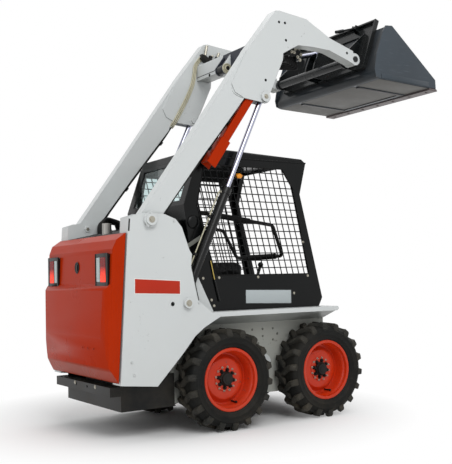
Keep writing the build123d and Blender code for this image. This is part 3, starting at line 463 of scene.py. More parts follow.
@dataclass
class Palette:
    """Every finish of the machine, made once and handed out by name."""

    shelf: GroupShelf
    made: dict[str, bpy.types.Material] = field(default_factory=dict)

    FINISHES = (
        # Amounts for faces that look down are painted shade on the white and orange paints.
        Finish("body_white", rgb(206, 210, 210), 0.34, coat=0.12, mottle=0.035, dust=0.2,
               chips=0.35, grain=0.03, edge=0.004, grime=0.7),
        Finish("body_orange", rgb(170, 42, 2), 0.3, coat=0.03, mottle=0.08, dust=0.03,
               chips=0.3, grain=0.03, specular=0.05, edge=0.006, grime=0.5),
        Finish("wheel_orange", rgb(196, 48, 10), 0.28, coat=0.2, mottle=0.1, dust=0.16,
               chips=0.5, grain=0.03, specular=0.2),
        Finish("tyre", rgb(14, 15, 14), 0.62, mottle=0.22, mottle_scale=9.0, dust=0.1,
               grain=0.35, grain_scale=420.0, scuffs=0.2, scuff_colour=rgb(58, 58, 52),
               specular=0.16),
        # The lugs' rubber is lighter than the tyre's, with more dust and paler scuffs: partly
        # dust, partly painted highlight on the lugs' faces.
        Finish("tyre_lug", rgb(30, 30, 27), 0.7, mottle=0.3, mottle_scale=14.0, dust=0.34,
               grain=0.35, grain_scale=420.0, scuffs=0.3, scuff_colour=rgb(92, 92, 84),
               specular=0.3, edge=0.003),
        Finish("frame_black", rgb(12, 13, 13), 0.38, mottle=0.12, dust=0.14, chips=0.3,
               grain=0.05, specular=0.2),
        Finish("cab_black", rgb(9, 11, 12), 0.24, coat=0.08, mottle=0.1, dust=0.04, chips=0.2,
               grain=0.04, specular=0.14, edge=0.005),
        Finish("screen_black", rgb(10, 11, 12), 0.36, mottle=0.1, dust=0.02, grain=0.04,
               specular=0.12, edge=0.001),
        Finish("cylinder_black", rgb(12, 13, 14), 0.26, coat=0.1, mottle=0.1, dust=0.06,
               chips=0.25, grain=0.03, specular=0.2),
        Finish("rod_chrome", rgb(170, 172, 188), 0.12, metallic=1.0, mottle=0.05, dust=0.03,
               grain=0.01, scuffs=0.12),
        # The bucket's rear-facing faces are painted near-black: painted shade.
        Finish("bucket_black", rgb(54, 63, 71), 0.32, coat=0.15, mottle=0.3, mottle_scale=2.2,
               dust=0.12, chips=0.5, scuffs=0.14, scuff_colour=rgb(112, 120, 128), grain=0.06,
               edge=0.005, rear_tone=rgb(17, 20, 22)),
        # The cross member's paint darkened to slate: painted shade of the space between the
        # arms.
        Finish("member_slate", rgb(40, 44, 54), 0.4, coat=0.1, mottle=0.1, dust=0.08,
               chips=0.2, grain=0.05, edge=0.005),
        Finish("hitch_black", rgb(16, 19, 20), 0.26, coat=0.15, mottle=0.16, dust=0.06,
               chips=0.4, scuffs=0.2, scuff_colour=rgb(84, 90, 94), grain=0.06, edge=0.003),
        # White paint greyed with an olive cast: painted shade of the fenders' underside.
        Finish("fender_grey", rgb(118, 120, 114), 0.6, mottle=0.12, dust=0.45, grain=0.1),
        # The chaincases' white paint greyed: painted shade between the wheels, with real dust
        # and chips on it.
        Finish("case_grey", rgb(168, 170, 164), 0.5, mottle=0.16, dust=0.7, chips=0.6,
               grain=0.08, grime=0.8),
        # Dark colour on the strips between the bucket's floor plates: painted shade.
        Finish("wear_strip", rgb(38, 34, 34), 0.4, mottle=0.14, dust=0.06, grain=0.1),
        Finish("bucket_floor", rgb(98, 97, 94), 0.55, mottle=0.16, mottle_scale=5.0, dust=0.1,
               scuffs=0.4, scuff_colour=rgb(130, 128, 124), grain=0.12),
        Finish("edge_steel", rgb(96, 88, 88), 0.42, metallic=0.5, mottle=0.18, dust=0.1,
               scuffs=0.5, scuff_colour=rgb(150, 144, 142), grain=0.1),
        Finish("bare_steel", rgb(150, 148, 144), 0.38, metallic=0.85, mottle=0.12, dust=0.1,
               scuffs=0.3, grain=0.06),
        Finish("engine_iron", rgb(48, 50, 52), 0.6, mottle=0.2, dust=0.35, grain=0.2,
               grain_scale=160.0),
        Finish("seat_vinyl", rgb(20, 20, 21), 0.52, mottle=0.1, dust=0.04, grain=0.4,
               grain_scale=500.0, specular=0.2),
        Finish("nut_zinc", rgb(168, 164, 152), 0.32, metallic=0.9, mottle=0.1, dust=0.2,
               grain=0.04, edge=0.001),
        Finish("lamp_case", rgb(10, 11, 12), 0.36, mottle=0.06, dust=0.05, grain=0.1,
               specular=0.2, edge=0.001),
        Finish("rubber_trim", rgb(14, 14, 15), 0.6, mottle=0.1, dust=0.08, grain=0.2,
               specular=0.16, edge=0.001),
        Finish("plate_silver", rgb(178, 186, 188), 0.4, metallic=0.2, mottle=0.06, dust=0.06,
               scuffs=0.2, grain=0.03, edge=0.0005),
        Finish("plate_orange", rgb(178, 40, 14), 0.32, mottle=0.05, dust=0.06, grain=0.02,
               edge=0.0005),
        Finish("plate_rim", rgb(226, 226, 222), 0.36, mottle=0.04, dust=0.08, grain=0.02,
               edge=0.0005),
        Finish("line_steel", rgb(176, 172, 150), 0.34, metallic=0.3, mottle=0.1, dust=0.1,
               grain=0.04, edge=0.001),
        Finish("strut_gold", rgb(196, 172, 96), 0.22, metallic=0.9, mottle=0.05, dust=0.03,
               grain=0.01, edge=0.001),
        Finish("clear_lens", rgb(182, 194, 194), 0.12, coat=0.6, mottle=0.12,
               mottle_scale=40.0, dust=0.04, grain=0.02, specular=0.5, edge=0.001),
        Glass("glass", rgb(206, 228, 228)),
        LitLens("red_lens", rgb(130, 8, 14), rgb(255, 62, 30), 1.03, 1.10, 1.2),
        LitLens("amber_lens", rgb(214, 132, 8), rgb(240, 150, 16), 1.6, 1.8, 0.5),
    )

    def __post_init__(self) -> None:
        """Make every finish."""
        for finish in self.FINISHES:
            self.made[finish.name] = finish.material(self.shelf)

    def coat(self, target: bpy.types.Object, name: str) -> None:
        """Give an object one finish all over."""
        slots = target.data.materials
        if len(slots):
            for index in range(len(slots)):
                slots[index] = self.made[name]
        else:
            slots.append(self.made[name])


# ------------------------------------------------------------------ mesh makers
def new_object(name: str, mesh: bpy.types.Mesh) -> bpy.types.Object:
    """Object of a mesh at the origin, linked to the scene."""
    made = bpy.data.objects.new(name, mesh)
    bpy.context.scene.collection.objects.link(made)
    return made


def from_bmesh(name: str, shape: bmesh.types.BMesh, soft: float = 35.0) -> bpy.types.Object:
    """Finish a bmesh as an object.

    Args:
        name: Name of the object.
        shape: The mesh; it is freed.
        soft: Angle in degrees below which edges are shaded smooth.

    Returns:
        The object, its faces pointing outwards.
    """
    bmesh.ops.remove_doubles(shape, verts=shape.verts, dist=1e-6)
    bmesh.ops.recalc_face_normals(shape, faces=shape.faces)
    mesh = bpy.data.meshes.new(name)
    shape.to_mesh(mesh)
    shape.free()
    mesh.shade_smooth()
    mesh.set_sharp_from_angle(angle=math.radians(soft))
    return new_object(name, mesh)


def applied(piece: bpy.types.Object, name: str) -> bpy.types.Object:
    """Plain mesh object of a piece with its modifiers applied; the piece is removed."""
    bpy.context.view_layer.update()
    depsgraph = bpy.context.evaluated_depsgraph_get()
    mesh = bpy.data.meshes.new_from_object(piece.evaluated_get(depsgraph), depsgraph=depsgraph)
    for modifier in list(piece.modifiers):
        piece.modifiers.remove(modifier)
    bpy.data.objects.remove(piece)
    mesh.name = name
    return new_object(name, mesh)


def lathed(name: str, profile: list[Flat], segments: int, soft: float) -> bpy.types.Object:
    """Object turned from a closed (radius, y) profile about the Y axis, in metres."""
    shape = bmesh.new()
    rings = []
    for step in range(segments):
        a = 2 * math.pi * step / segments
        rings.append([shape.verts.new((r * math.cos(a), y, r * math.sin(a)))
                      for r, y in profile])
    count = len(profile)
    for one, two in zip(rings, rings[1:] + rings[:1]):
        for k in range(count):
            n = (k + 1) % count
            if max(profile[k][0], profile[n][0]) >= 1e-6:
                shape.faces.new([one[k], one[n], two[n], two[k]])
    return from_bmesh(name, shape, soft)


def add_prism(shape: bmesh.types.BMesh, outline: list[Flat], low: float, high: float) -> None:
    """Add the (x, z) outline extruded from y low to high."""
    one = [shape.verts.new((x, low, z)) for x, z in outline]
    two = [shape.verts.new((x, high, z)) for x, z in outline]
    shape.faces.new(one)
    shape.faces.new(two[::-1])
    for k in range(len(outline)):
        n = (k + 1) % len(outline)
        shape.faces.new([one[k], two[k], two[n], one[n]])


def add_block(shape: bmesh.types.BMesh, low: Point, high: Point) -> None:
    """Add a block between two (forward, y, height) corners."""
    (x1, y1, z1), (x2, y2, z2) = spot(*low), spot(*high)
    add_prism(shape, [(x1, z1), (x2, z1), (x2, z2), (x1, z2)], y1, y2)


def bevel(target: bpy.types.Object, width: float, segments: int = 2) -> bpy.types.Object:
    """Round the object's edges in its mesh."""
    shape = bmesh.new()
    shape.from_mesh(target.data)
    edges = [e for e in shape.edges if len(e.link_faces) == 2
             and e.calc_face_angle(0) > math.radians(25)]
    bmesh.ops.bevel(shape, geom=edges, offset=width, segments=segments, profile=0.6,
                    affect="EDGES", clamp_overlap=True)
    shape.to_mesh(target.data)
    shape.free()
    target.data.shade_smooth()
    target.data.set_sharp_from_angle(angle=math.radians(35))
    return target


def block(name: str, low: Point, high: Point, width: float,
          segments: int = 2) -> bpy.types.Object:
    """Block between two (forward, y, height) corners, its edges rounded by width in metres."""
    shape = bmesh.new()
    add_block(shape, low, high)
    return bevel(from_bmesh(name, shape), width, segments)


def circle(count: int, radius: float) -> list[Flat]:
    """Corners set evenly about the origin."""
    turns = [2 * math.pi * k / count for k in range(count)]
    return [(radius * math.cos(a), radius * math.sin(a)) for a in turns]


def moved(piece: bpy.types.Object, forward: float, y: float, height: float
          ) -> bpy.types.Object:
    """The piece with its mesh moved from the origin to a place in millimetres."""
    piece.data.transform(Matrix.Translation(spot(forward, y, height)))
    return piece


# ------------------------------------------------------------------ geometry trees
def piece_tree(name: str, inputs: list[tuple[str, str, object]]
               ) -> tuple[NodeBoard, dict, bpy.types.Node]:
    """Geometry tree with a Geometry input and output, named sizes and a Material."""
    return node_group("Geometry", name, [("Geometry", "Geometry", None), *inputs,
                                         ("Material", "Material", None)],
                      [("Geometry", "Geometry")])


def close_tree(board: NodeBoard, given: dict, leave: bpy.types.Node,
               geometry: bpy.types.NodeSocket) -> bpy.types.NodeTree:
    """End a tree in Realize Instances and Set Material."""
    real = board.add("GeometryNodeRealizeInstances", {0: geometry}).outputs[0]
    named = board.add("GeometryNodeSetMaterial", {"Geometry": real,
                                                  "Material": given["Material"]})
    return board.end(leave, named.outputs[0])


def copies(board: NodeBoard, points: object, piece: object,
           turn: object = (0.0, 0.0, 0.0)) -> bpy.types.NodeSocket:
    """A piece set on every point."""
    return board.add("GeometryNodeInstanceOnPoints", {"Points": points, "Instance": piece,
                                                      "Rotation": turn}).outputs[0]


def ring_tree() -> bpy.types.NodeTree:
    """Repeats a shape round the Y axis."""
    board, given, leave = piece_tree("ring_of_pieces", [("Count", "Int", 8),
                                                        ("Start", "Float", 0.0)])
    points = board.add("GeometryNodeMeshLine", {"Count": given["Count"],
                                                "Offset": (0.0, 0.0, 0.0)}).outputs[0]
    index = board.add("GeometryNodeInputIndex").outputs[0]
    step = board.maths("DIVIDE", 2 * math.pi, given["Count"])
    angle = board.maths("ADD", board.product(index, step), given["Start"])
    turn = board.add("ShaderNodeCombineXYZ", {1: angle}).outputs[0]
    return close_tree(board, given, leave, copies(board, points, given["Geometry"], turn))


def row_tree() -> bpy.types.NodeTree:
    """Repeats a shape along a straight row."""
    board, given, leave = piece_tree("row_of_pieces", [("Count", "Int", 4),
                                                       ("Step", "Vector", (0.1, 0.0, 0.0))])
    points = board.add("GeometryNodeMeshLine", {"Count": given["Count"],
                                                "Offset": given["Step"]}).outputs[0]
    return close_tree(board, given, leave, copies(board, points, given["Geometry"]))


def pipe_tree() -> bpy.types.NodeTree:
    """Runs a round section along every curve given."""
    board, given, leave = piece_tree("pipe_on_path", [("Radius", "Float", 0.006),
                                                      ("Sides", "Int", 12)])
    ring = board.add("GeometryNodeCurvePrimitiveCircle", {
        "Resolution": given["Sides"], "Radius": given["Radius"]}).outputs[0]
    tube = board.add("GeometryNodeCurveToMesh", {"Curve": given["Geometry"],
                                                 "Profile Curve": ring,
                                                 "Fill Caps": True}).outputs[0]
    smooth = board.add("GeometryNodeSetShadeSmooth", {"Geometry": tube}).outputs[0]
    return close_tree(board, given, leave, smooth)


def bolt_tree() -> bpy.types.NodeTree:
    """Sets a hexagon bolt head with its washer on every point given."""
    board, given, leave = piece_tree("bolt_heads", [("Radius", "Float", 0.01),
                                                    ("Height", "Float", 0.006),
                                                    ("Turn", "Vector", (0.0, 0.0, 0.0))])
    head = board.add("GeometryNodeMeshCone", {
        "Vertices": 6, "Radius Top": board.product(given["Radius"], 0.9),
        "Radius Bottom": given["Radius"], "Depth": given["Height"]}).outputs["Mesh"]
    washer = board.add("GeometryNodeMeshCylinder", {
        "Vertices": 20, "Radius": board.product(given["Radius"], 1.45),
        "Depth": board.product(given["Height"], 0.35)}).outputs["Mesh"]
    joined = board.add("GeometryNodeJoinGeometry")
    for part in (head, washer):
        board.tree.links.new(part, joined.inputs[0])
    return close_tree(board, given, leave,
                      copies(board, given["Geometry"], joined.outputs[0], given["Turn"]))


@dataclass
class TreeShelf:
    """Geometry trees that repeat a shape or follow a path, each built once."""

    ring: bpy.types.NodeTree = field(default_factory=ring_tree)
    row: bpy.types.NodeTree = field(default_factory=row_tree)
    pipe: bpy.types.NodeTree = field(default_factory=pipe_tree)
    bolt: bpy.types.NodeTree = field(default_factory=bolt_tree)


# ------------------------------------------------------------------ workshop
@dataclass
class Workshop:
    """Bench that all sub-assemblies share: finishes, trees and the hand-over to the frame."""

    palette: Palette
    trees: TreeShelf

    def grow(self, source: bpy.types.Object, tree: bpy.types.NodeTree, inputs: dict,
             finish: str, name: str) -> bpy.types.Object:
        """Run a geometry tree on an object and keep the result as a plain mesh.

        Args:
            source: Mesh or curve object that feeds the tree; it is removed.
            tree: The geometry tree.
            inputs: Input name to value.
            finish: Name of the finish that the tree sets.
            name: Name of the result.

        Returns:
            The plain mesh object.
        """
        modifier = source.modifiers.new("grow", "NODES")
        modifier.node_group = tree
        values = dict(inputs, Material=self.palette.made[finish])
        for item in tree.interface.items_tree:
            if item.item_type == "SOCKET" and item.in_out == "INPUT" and item.name in values:
                modifier[item.identifier] = values[item.name]
        return applied(source, name)

    def mount(self, piece: bpy.types.Object, body: str, finish: str = "",
              replaces: tuple[str, ...] = ()) -> None:
        """Hand a finished piece to its body.

        Args:
            piece: The piece, in its place.
            body: Body that carries it.
            finish: Finish to give it, where it has none yet.
            replaces: CAD nodes that it stands for.
        """
        if finish:
            self.palette.coat(piece, finish)
        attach(piece, body)
        if replaces:
            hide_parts(*replaces)
        LOG.info("%s on %s, %d faces", piece.name, body, len(piece.data.polygons))

    def bolts(self, name: str, body: str, finish: str, centres: list[Point],
              radius: float, height: float, facing: Facing) -> None:
        """Bolt heads.

        Args:
            name: Name of the piece.
            body: Body that carries it.
            finish: Name of the finish.
            centres: (forward, y, height) of each head's seat.
            radius: Radius to the head's corners, in millimetres.
            height: Height of the head, in millimetres.
            facing: Direction that the heads look in.
        """
        mesh = bpy.data.meshes.new(name)
        mesh.from_pydata([spot(*centre) for centre in centres], [], [])
        heads = self.grow(new_object(name + "_seats", mesh), self.trees.bolt,
                          {"Radius": mm(radius), "Height": mm(height), "Turn": facing.value},
                          finish, name)
        self.mount(heads, body)

    def slab(self, name: str, body: str, slot: str, finish: str, outlines: list[list[Flat]],
             low: float, high: float, rounding: float = 1.0) -> None:
        """Plates cut to side-view outlines, with rounded edges.

        Args:
            name: Name of the piece.
            body: Body that carries it.
            slot: Material slot of the record; not used.
            finish: Name of the finish.
            outlines: (forward, height) corners of each plate.
            low: Lowest y of the plates, in millimetres.
            high: Highest y of the plates, in millimetres.
            rounding: Width of the edges' rounding, in millimetres.
        """
        shape = bmesh.new()
        for outline in outlines:
            add_prism(shape, [at(*point) for point in outline], mm(low), mm(high))
        self.mount(bevel(from_bmesh(name, shape), mm(rounding)), body, finish)

    def tubes(self, name: str, body: str, finish: str, paths: list[list[Point]],
              radius: float, sides: int = 12, bend: bool = True) -> None:
        """Round tubes along smooth or straight paths, as one mesh.

        Args:
            name: Name of the piece.
            body: Body that carries it.
            finish: Name of the finish.
            paths: (forward, y, height) points of each tube.
            radius: Radius of the tubes, in millimetres.
            sides: Sides of the round section.
            bend: Whether the paths are smooth.
        """
        curve = bpy.data.curves.new(name, "CURVE")
        curve.dimensions = "3D"
        curve.resolution_u = 6
        for path in paths:
            spline = curve.splines.new("NURBS" if bend else "POLY")
            spline.points.add(len(path) - 1)
            for point, place in zip(spline.points, path):
                point.co = (*spot(*place), 1.0)
            if bend:
                spline.order_u = 3
                spline.use_endpoint_u = True
        source = bpy.data.objects.new(name + "_path", curve)
        bpy.context.scene.collection.objects.link(source)
        self.mount(self.grow(source, self.trees.pipe, {"Radius": mm(radius), "Sides": sides},
                             finish, name), body)


@dataclass(frozen=True)
class BoltSet:
    """Bolt heads that each side carries; the seats' y is the distance off the centre plane."""

    name: str
    slot: str
    finish: str
    radius: float
    height: float
    seats: tuple[Point, ...]
    inward: bool = False

    def add(self, shop: Workshop, body: str, side: Side) -> None:
        """Set one side's bolts."""
        shop.bolts(f"{self.name}_{side.tag}", body, self.finish,
                   [(x, side.value * y, z) for x, y, z in self.seats], self.radius,
                   self.height, Facing.outward(side.other if self.inward else side))


@dataclass(frozen=True)
class PlateSet:
    """Plates that each side carries, between two distances off the centre plane."""

    name: str
    slot: str
    finish: str
    near: float
    far: float
    rounding: float
    outlines: tuple[tuple[Flat, ...], ...]

    def add(self, shop: Workshop, body: str, side: Side) -> None:
        """Set one side's plates."""
        shop.slab(f"{self.name}_{side.tag}", body, self.slot, self.finish, self.outlines,
                  *side.span(self.near, self.far), self.rounding)


@dataclass(frozen=True)
class TubeSet:
    """Tubes that each side carries; their points' y is the distance off the centre plane."""

    name: str
    slot: str
    finish: str
    radius: float
    sides: int
    paths: tuple[tuple[Point, ...], ...]
    bend: bool = True

    def add(self, shop: Workshop, body: str, side: Side) -> None:
        """Lay one side's tubes."""
        shop.tubes(f"{self.name}_{side.tag}", body, self.finish,
                   [[(x, side.value * y, z) for x, y, z in path] for path in self.paths],
                   self.radius, self.sides, self.bend)


# ------------------------------------------------------------------ studio
@dataclass
class Studio:
    """Camera, lamps, world and floor; angles are radians and lengths metres."""

    yaw: float = 0.5874
    pitch: float = 0.05373
    roll: float = -0.02378
    position: Point = (-3.5400, -5.0692, 1.0106)
    lens: float = 62.78
    shift: Flat = (-0.0094, 0.0044)
    aim: Point = (0.0, 0.0, 1.2)
    ambient: float = 0.46
    floor_reach: float = 30.0
    floor_clear: Flat = (0.85, 1.8)
    floor_tone: float = 0.93
    shadow_middle: Point = (-0.5, 0.3, 0.0)
    lamps: tuple[tuple[str, Point, float, float], ...] = (
        ("key", (-2.0, -7.0, 6.5), 5.0, 330.0), ("fill", (-8.0, -1.0, 4.0), 5.0, 90.0),
        ("top", (1.0, 1.0, 8.0), 6.0, 170.0))

    def camera(self) -> None:
        """Place the camera and make it the scene's."""
        data = bpy.data.cameras.new("camera")
        data.lens, data.sensor_width, data.sensor_fit = self.lens, 36.0, "AUTO"
        data.shift_x, data.shift_y = self.shift
        data.clip_end = 200.0
        seat = bpy.data.objects.new("camera", data)
        bpy.context.scene.collection.objects.link(seat)
        ahead = Vector((math.sin(self.yaw) * math.cos(self.pitch),
                        math.cos(self.yaw) * math.cos(self.pitch), math.sin(self.pitch)))
        level = Vector((math.cos(self.yaw), -math.sin(self.yaw), 0.0))
        above = level.cross(ahead)
        right = math.cos(self.roll) * level + math.sin(self.roll) * above
        up = -math.sin(self.roll) * level + math.cos(self.roll) * above
        turn = Matrix((right, up, -ahead)).transposed().to_4x4()
        seat.matrix_world = Matrix.Translation(self.position) @ turn
        bpy.context.scene.camera = seat

    def lamp(self, name: str, place: Point, size: float, power: float) -> None:
        """Add a soft square lamp that looks at the machine's middle."""
        data = bpy.data.lights.new(name, "AREA")
        data.shape, data.size, data.energy = "SQUARE", size, power
        seat = bpy.data.objects.new(name, data)
        bpy.context.scene.collection.objects.link(seat)
        turn = (Vector(self.aim) - Vector(place)).to_track_quat("-Z", "Y").to_matrix()
        seat.matrix_world = Matrix.Translation(place) @ turn.to_4x4()

    def world(self) -> None:
        """Plain grey light from all round, white where a ray sees it."""
        world = bpy.data.worlds.new("world")
        bpy.context.scene.world = world
        board = fresh_tree(world)
        strength = board.ramp(board.seen(), 0.0, 1.0, self.ambient, 1.0)
        back = board.add("ShaderNodeBackground", {"Color": WHITE, "Strength": strength})
        board.add("ShaderNodeOutputWorld", {"Surface": back.outputs[0]})

    def floor(self) -> None:
        """Plain pale floor that keeps the shadow and turns white away from the machine."""
        shape = bmesh.new()
        bmesh.ops.create_circle(shape, cap_ends=True, radius=self.floor_reach, segments=96)
        mesh = bpy.data.meshes.new("floor")
        shape.to_mesh(mesh)
        shape.free()
        floor = new_object("floor", mesh)
        pale = bpy.data.materials.new("floor_pale")
        board = fresh_tree(pale)
        reach = board.add("ShaderNodeVectorMath", {0: board.local(), 1: self.shadow_middle},
                          operation="DISTANCE").outputs["Value"]
        share = board.product(board.ramp(reach, *self.floor_clear), board.seen())
        matt = board.add("ShaderNodeBsdfDiffuse", {"Color": (*[self.floor_tone] * 3, 1.0)})
        white = board.add("ShaderNodeEmission", {"Color": WHITE, "Strength": 1.0})
        mixed = board.add("ShaderNodeMixShader", {0: share, 1: matt.outputs[0],
                                                  2: white.outputs[0]})
        board.add("ShaderNodeOutputMaterial", {"Surface": mixed.outputs[0]})
        floor.data.materials.append(pale)

    def build(self) -> None:
        """Set the whole studio up."""
        self.camera()
        self.world()
        for lamp in self.lamps:
            self.lamp(*lamp)
        self.floor()
        bpy.context.scene.view_settings.view_transform = "Standard"


# ------------------------------------------------------------------ wheels
class Corner(Enum):
    """The four wheels, each with its side."""

    REAR_RIGHT = ("rear_right", Side.RIGHT)
    REAR_LEFT = ("rear_left", Side.LEFT)
    FRONT_RIGHT = ("front_right", Side.RIGHT)
    FRONT_LEFT = ("front_left", Side.LEFT)

    @property
    def tag(self) -> str:
        """Name of the wheel as the frame's nodes have it."""
        return self.value[0]


@dataclass
class Wheel:
    """Tyre with deep lugs on a dished steel rim, in metres about its centre, outside to -Y."""

    corner: Corner
    lug_pairs: int = 18
    tip: float = 0.336
    tread: float = 0.315
    half_width: float = 0.108
    first: float = 0.220
    disc: float = -0.0140

    def _mount(self, shop: Workshop, piece: bpy.types.Object, finish: str = "",
               replaces: tuple[str, ...] = ()) -> None:
        """Move a wheel piece from the origin to its axle and hand it over."""
        low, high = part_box(f"tyre_{self.corner.tag}")
        if self.corner.value[1] is Side.LEFT:
            piece.data.transform(Matrix.Scale(-1, 4, (0, 1, 0)))
            piece.data.flip_normals()
        piece.data.transform(Matrix.Translation((low + high) / 2))
        shop.mount(piece, f"wheel_{self.corner.tag}", finish, replaces)

    def carcass(self) -> bpy.types.Object:
        """Tyre body with bead, rounded walls, wall rings and the tread's floor."""
        w, t = self.half_width, self.tread
        wall = [(0.1915, 0.074), (0.2050, 0.0775), (0.2125, 0.0860), (0.2165, 0.0930),
                (0.2220, 0.0955), (0.2270, 0.0960), (0.2300, 0.0985), (0.2420, w - 0.0045),
                (0.2440, w - 0.0025), (0.2470, w - 0.0025), (0.2490, w - 0.0030),
                (0.2620, w - 0.0005), (0.2740, w - 0.0010), (0.2760, w + 0.0005),
                (0.2785, w + 0.0005), (0.2805, w - 0.0020), (0.2900, w - 0.0060),
                (0.3000, w - 0.0130), (0.3080, w - 0.0240), (0.3120, w - 0.0380),
                (t, w - 0.0560), (t + 0.001, w - 0.0760), (t + 0.001, 0.0)]
        profile = [(r, -y) for r, y in wall] + wall[-2::-1] + [(0.1915, 0.0)]
        return lathed(f"tyre_body_{self.corner.tag}", profile, 144, 40)

    def _lug(self, pair: bmesh.types.BMesh, flip: int, start: float) -> None:
        """Add one heavy lug from the shoulder to past the tread's middle."""
        w, t = self.half_width, self.tip
        # y off the outer side, angle, half length round the tyre, top and foot radius
        rows = [(0.004, 0.000, 0.0150, 0.286, 0.280), (0.002, 0.000, 0.0170, 0.306, 0.284),
                (0.008, 0.004, 0.0185, 0.326, 0.296), (0.020, 0.008, 0.0185, t, 0.306),
                (0.042, 0.018, 0.0180, t, 0.310), (0.060, 0.040, 0.0185, t, 0.311),
                (0.080, 0.085, 0.0185, t, 0.312), (0.098, 0.130, 0.0175, t, 0.312),
                (0.118, 0.170, 0.0145, t, 0.312)]
        rings = []
        for inside, angle, half, top, foot in rows:
            ring = []
            for share, radius in ((-1.28, foot), (-1.0, top - 0.004), (-0.86, top), (0.0, top),
                                  (0.86, top), (1.0, top - 0.004), (1.28, foot)):
                a = (angle + start) + share * half / radius
                ring.append(pair.verts.new((radius * math.cos(a), flip * (w - inside),
                                            radius * math.sin(a))))
            rings.append(ring)
        for one, two in zip(rings, rings[1:]):
            for k in range(7):
                n = (k + 1) % 7
                pair.faces.new([one[k], one[n], two[n], two[k]])
        pair.faces.new(rings[0])
        pair.faces.new(rings[-1])

    def lugs(self, shop: Workshop) -> bpy.types.Object:
        """All lugs, set round the tyre in two staggered rows."""
        pair = bmesh.new()
        half_pitch = math.pi / self.lug_pairs
        for flip, start in ((-1, self.first), (1, self.first + half_pitch)):
            self._lug(pair, flip, start)
        return shop.grow(from_bmesh("lug_pair", pair, 28), shop.trees.ring,
                         {"Count": self.lug_pairs}, "tyre_lug", f"tyre_lugs_{self.corner.tag}")

    def rim(self) -> bpy.types.Object:
        """Dished rim with rolled flanges, drop centre and rounded disc."""
        flange = [(0.1950, 0.0872), (0.2040, 0.0880), (0.2088, 0.0868), (0.2105, 0.0850),
                  (0.2095, 0.0830), (0.2050, 0.0822), (0.1965, 0.0815), (0.1915, 0.0770),
                  (0.1905, 0.0600), (0.1820, 0.0480), (0.1780, 0.0300)]
        profile = [
            (0.030, 0.112), (0.030, 0.036), (0.062, 0.036), (0.062, 0.006), (0.128, 0.006),
            (0.146, 0.020), (0.158, 0.027), (0.174, 0.031), (0.1800, 0.060), (0.1885, 0.070),
            (0.1890, 0.0800), (0.1900, 0.0850), *flange, *((r, -y) for r, y in flange[::-1]),
            (0.1900, -0.0850), (0.1885, -0.0800), (0.1875, -0.0640), (0.1790, -0.0520),
            (0.1740, -0.0380), (0.1735, 0.0080), (0.1700, 0.0160), (0.1620, 0.0165),
            (0.1530, 0.0110), (0.1420, -0.0010), (0.1360, -0.0060), (0.1300, -0.0080),
            (0.0850, -0.0080), (0.0820, -0.0110), (0.0820, -0.0130), (0.0800, -0.0145),
            (0.030, -0.0145)]
        return lathed(f"rim_body_{self.corner.tag}", profile, 128, 30)

    def hub(self) -> bpy.types.Object:
        """Black hub cap standing out of the disc, with its stepped end."""
        profile = [(0.0, -0.012), (0.050, -0.012), (0.0500, -0.026), (0.0480, -0.030),
                   (0.0440, -0.032), (0.0420, -0.040), (0.0380, -0.0445), (0.0260, -0.0460),
                   (0.0250, -0.0480), (0.0120, -0.0485), (0.0, -0.0485)]
        return lathed(f"hub_cap_{self.corner.tag}", profile, 48, 30)

    def nuts(self, shop: Workshop, name: str, finish: str, count: int, radius: float,
             size: float, rise: float) -> bpy.types.Object:
        """Ring of hexagon nuts with washers and stud ends.

        Args:
            shop: The bench.
            name: Start of the piece's name.
            finish: Name of the finish.
            count: Number of nuts.
            radius: Radius of the ring.
            size: Radius to a nut's corners.
            rise: Height of a nut.

        Returns:
            The nuts about the origin.
        """
        shape = bmesh.new()
        foot, top = self.disc - 0.003, self.disc - rise
        for outline, low, high in ((circle(16, size * 1.35), foot, self.disc),
                                   (circle(6, size), top, foot),
                                   (circle(10, size * 0.55), top - 0.006, top)):
            add_prism(shape, [(x + radius, z) for x, z in outline], low, high)
        return shop.grow(bevel(from_bmesh("nut", shape), 0.0012, 1), shop.trees.ring,
                         {"Count": count, "Start": 0.2}, finish, f"{name}_{self.corner.tag}")

    def valve(self) -> bpy.types.Object:
        """Valve stem in the rim's well."""
        shape = bmesh.new()
        for radius, low, high in ((0.005, -0.044, 0.014), (0.0075, -0.052, -0.038)):
            add_prism(shape, [(x + 0.058, z - 0.155) for x, z in circle(8, radius)], low, high)
        return bevel(from_bmesh(f"valve_{self.corner.tag}", shape), 0.001, 1)

    def build(self, shop: Workshop) -> None:
        """Make the wheel's pieces and hand them to its body."""
        tag = self.corner.tag
        self._mount(shop, self.carcass(), "tyre", (f"tyre_{tag}",))
        self._mount(shop, self.lugs(shop))
        self._mount(shop, self.rim(), "wheel_orange", (f"rim_{tag}",))
        self._mount(shop, self.hub(), "frame_black")
        self._mount(shop, self.nuts(shop, "hub_nuts", "frame_black", 8, 0.060, 0.0105, 0.016))
        self._mount(shop, self.nuts(shop, "disc_bolts", "nut_zinc", 12, 0.080, 0.0055, 0.007))
        self._mount(shop, self.valve(), "rubber_trim")


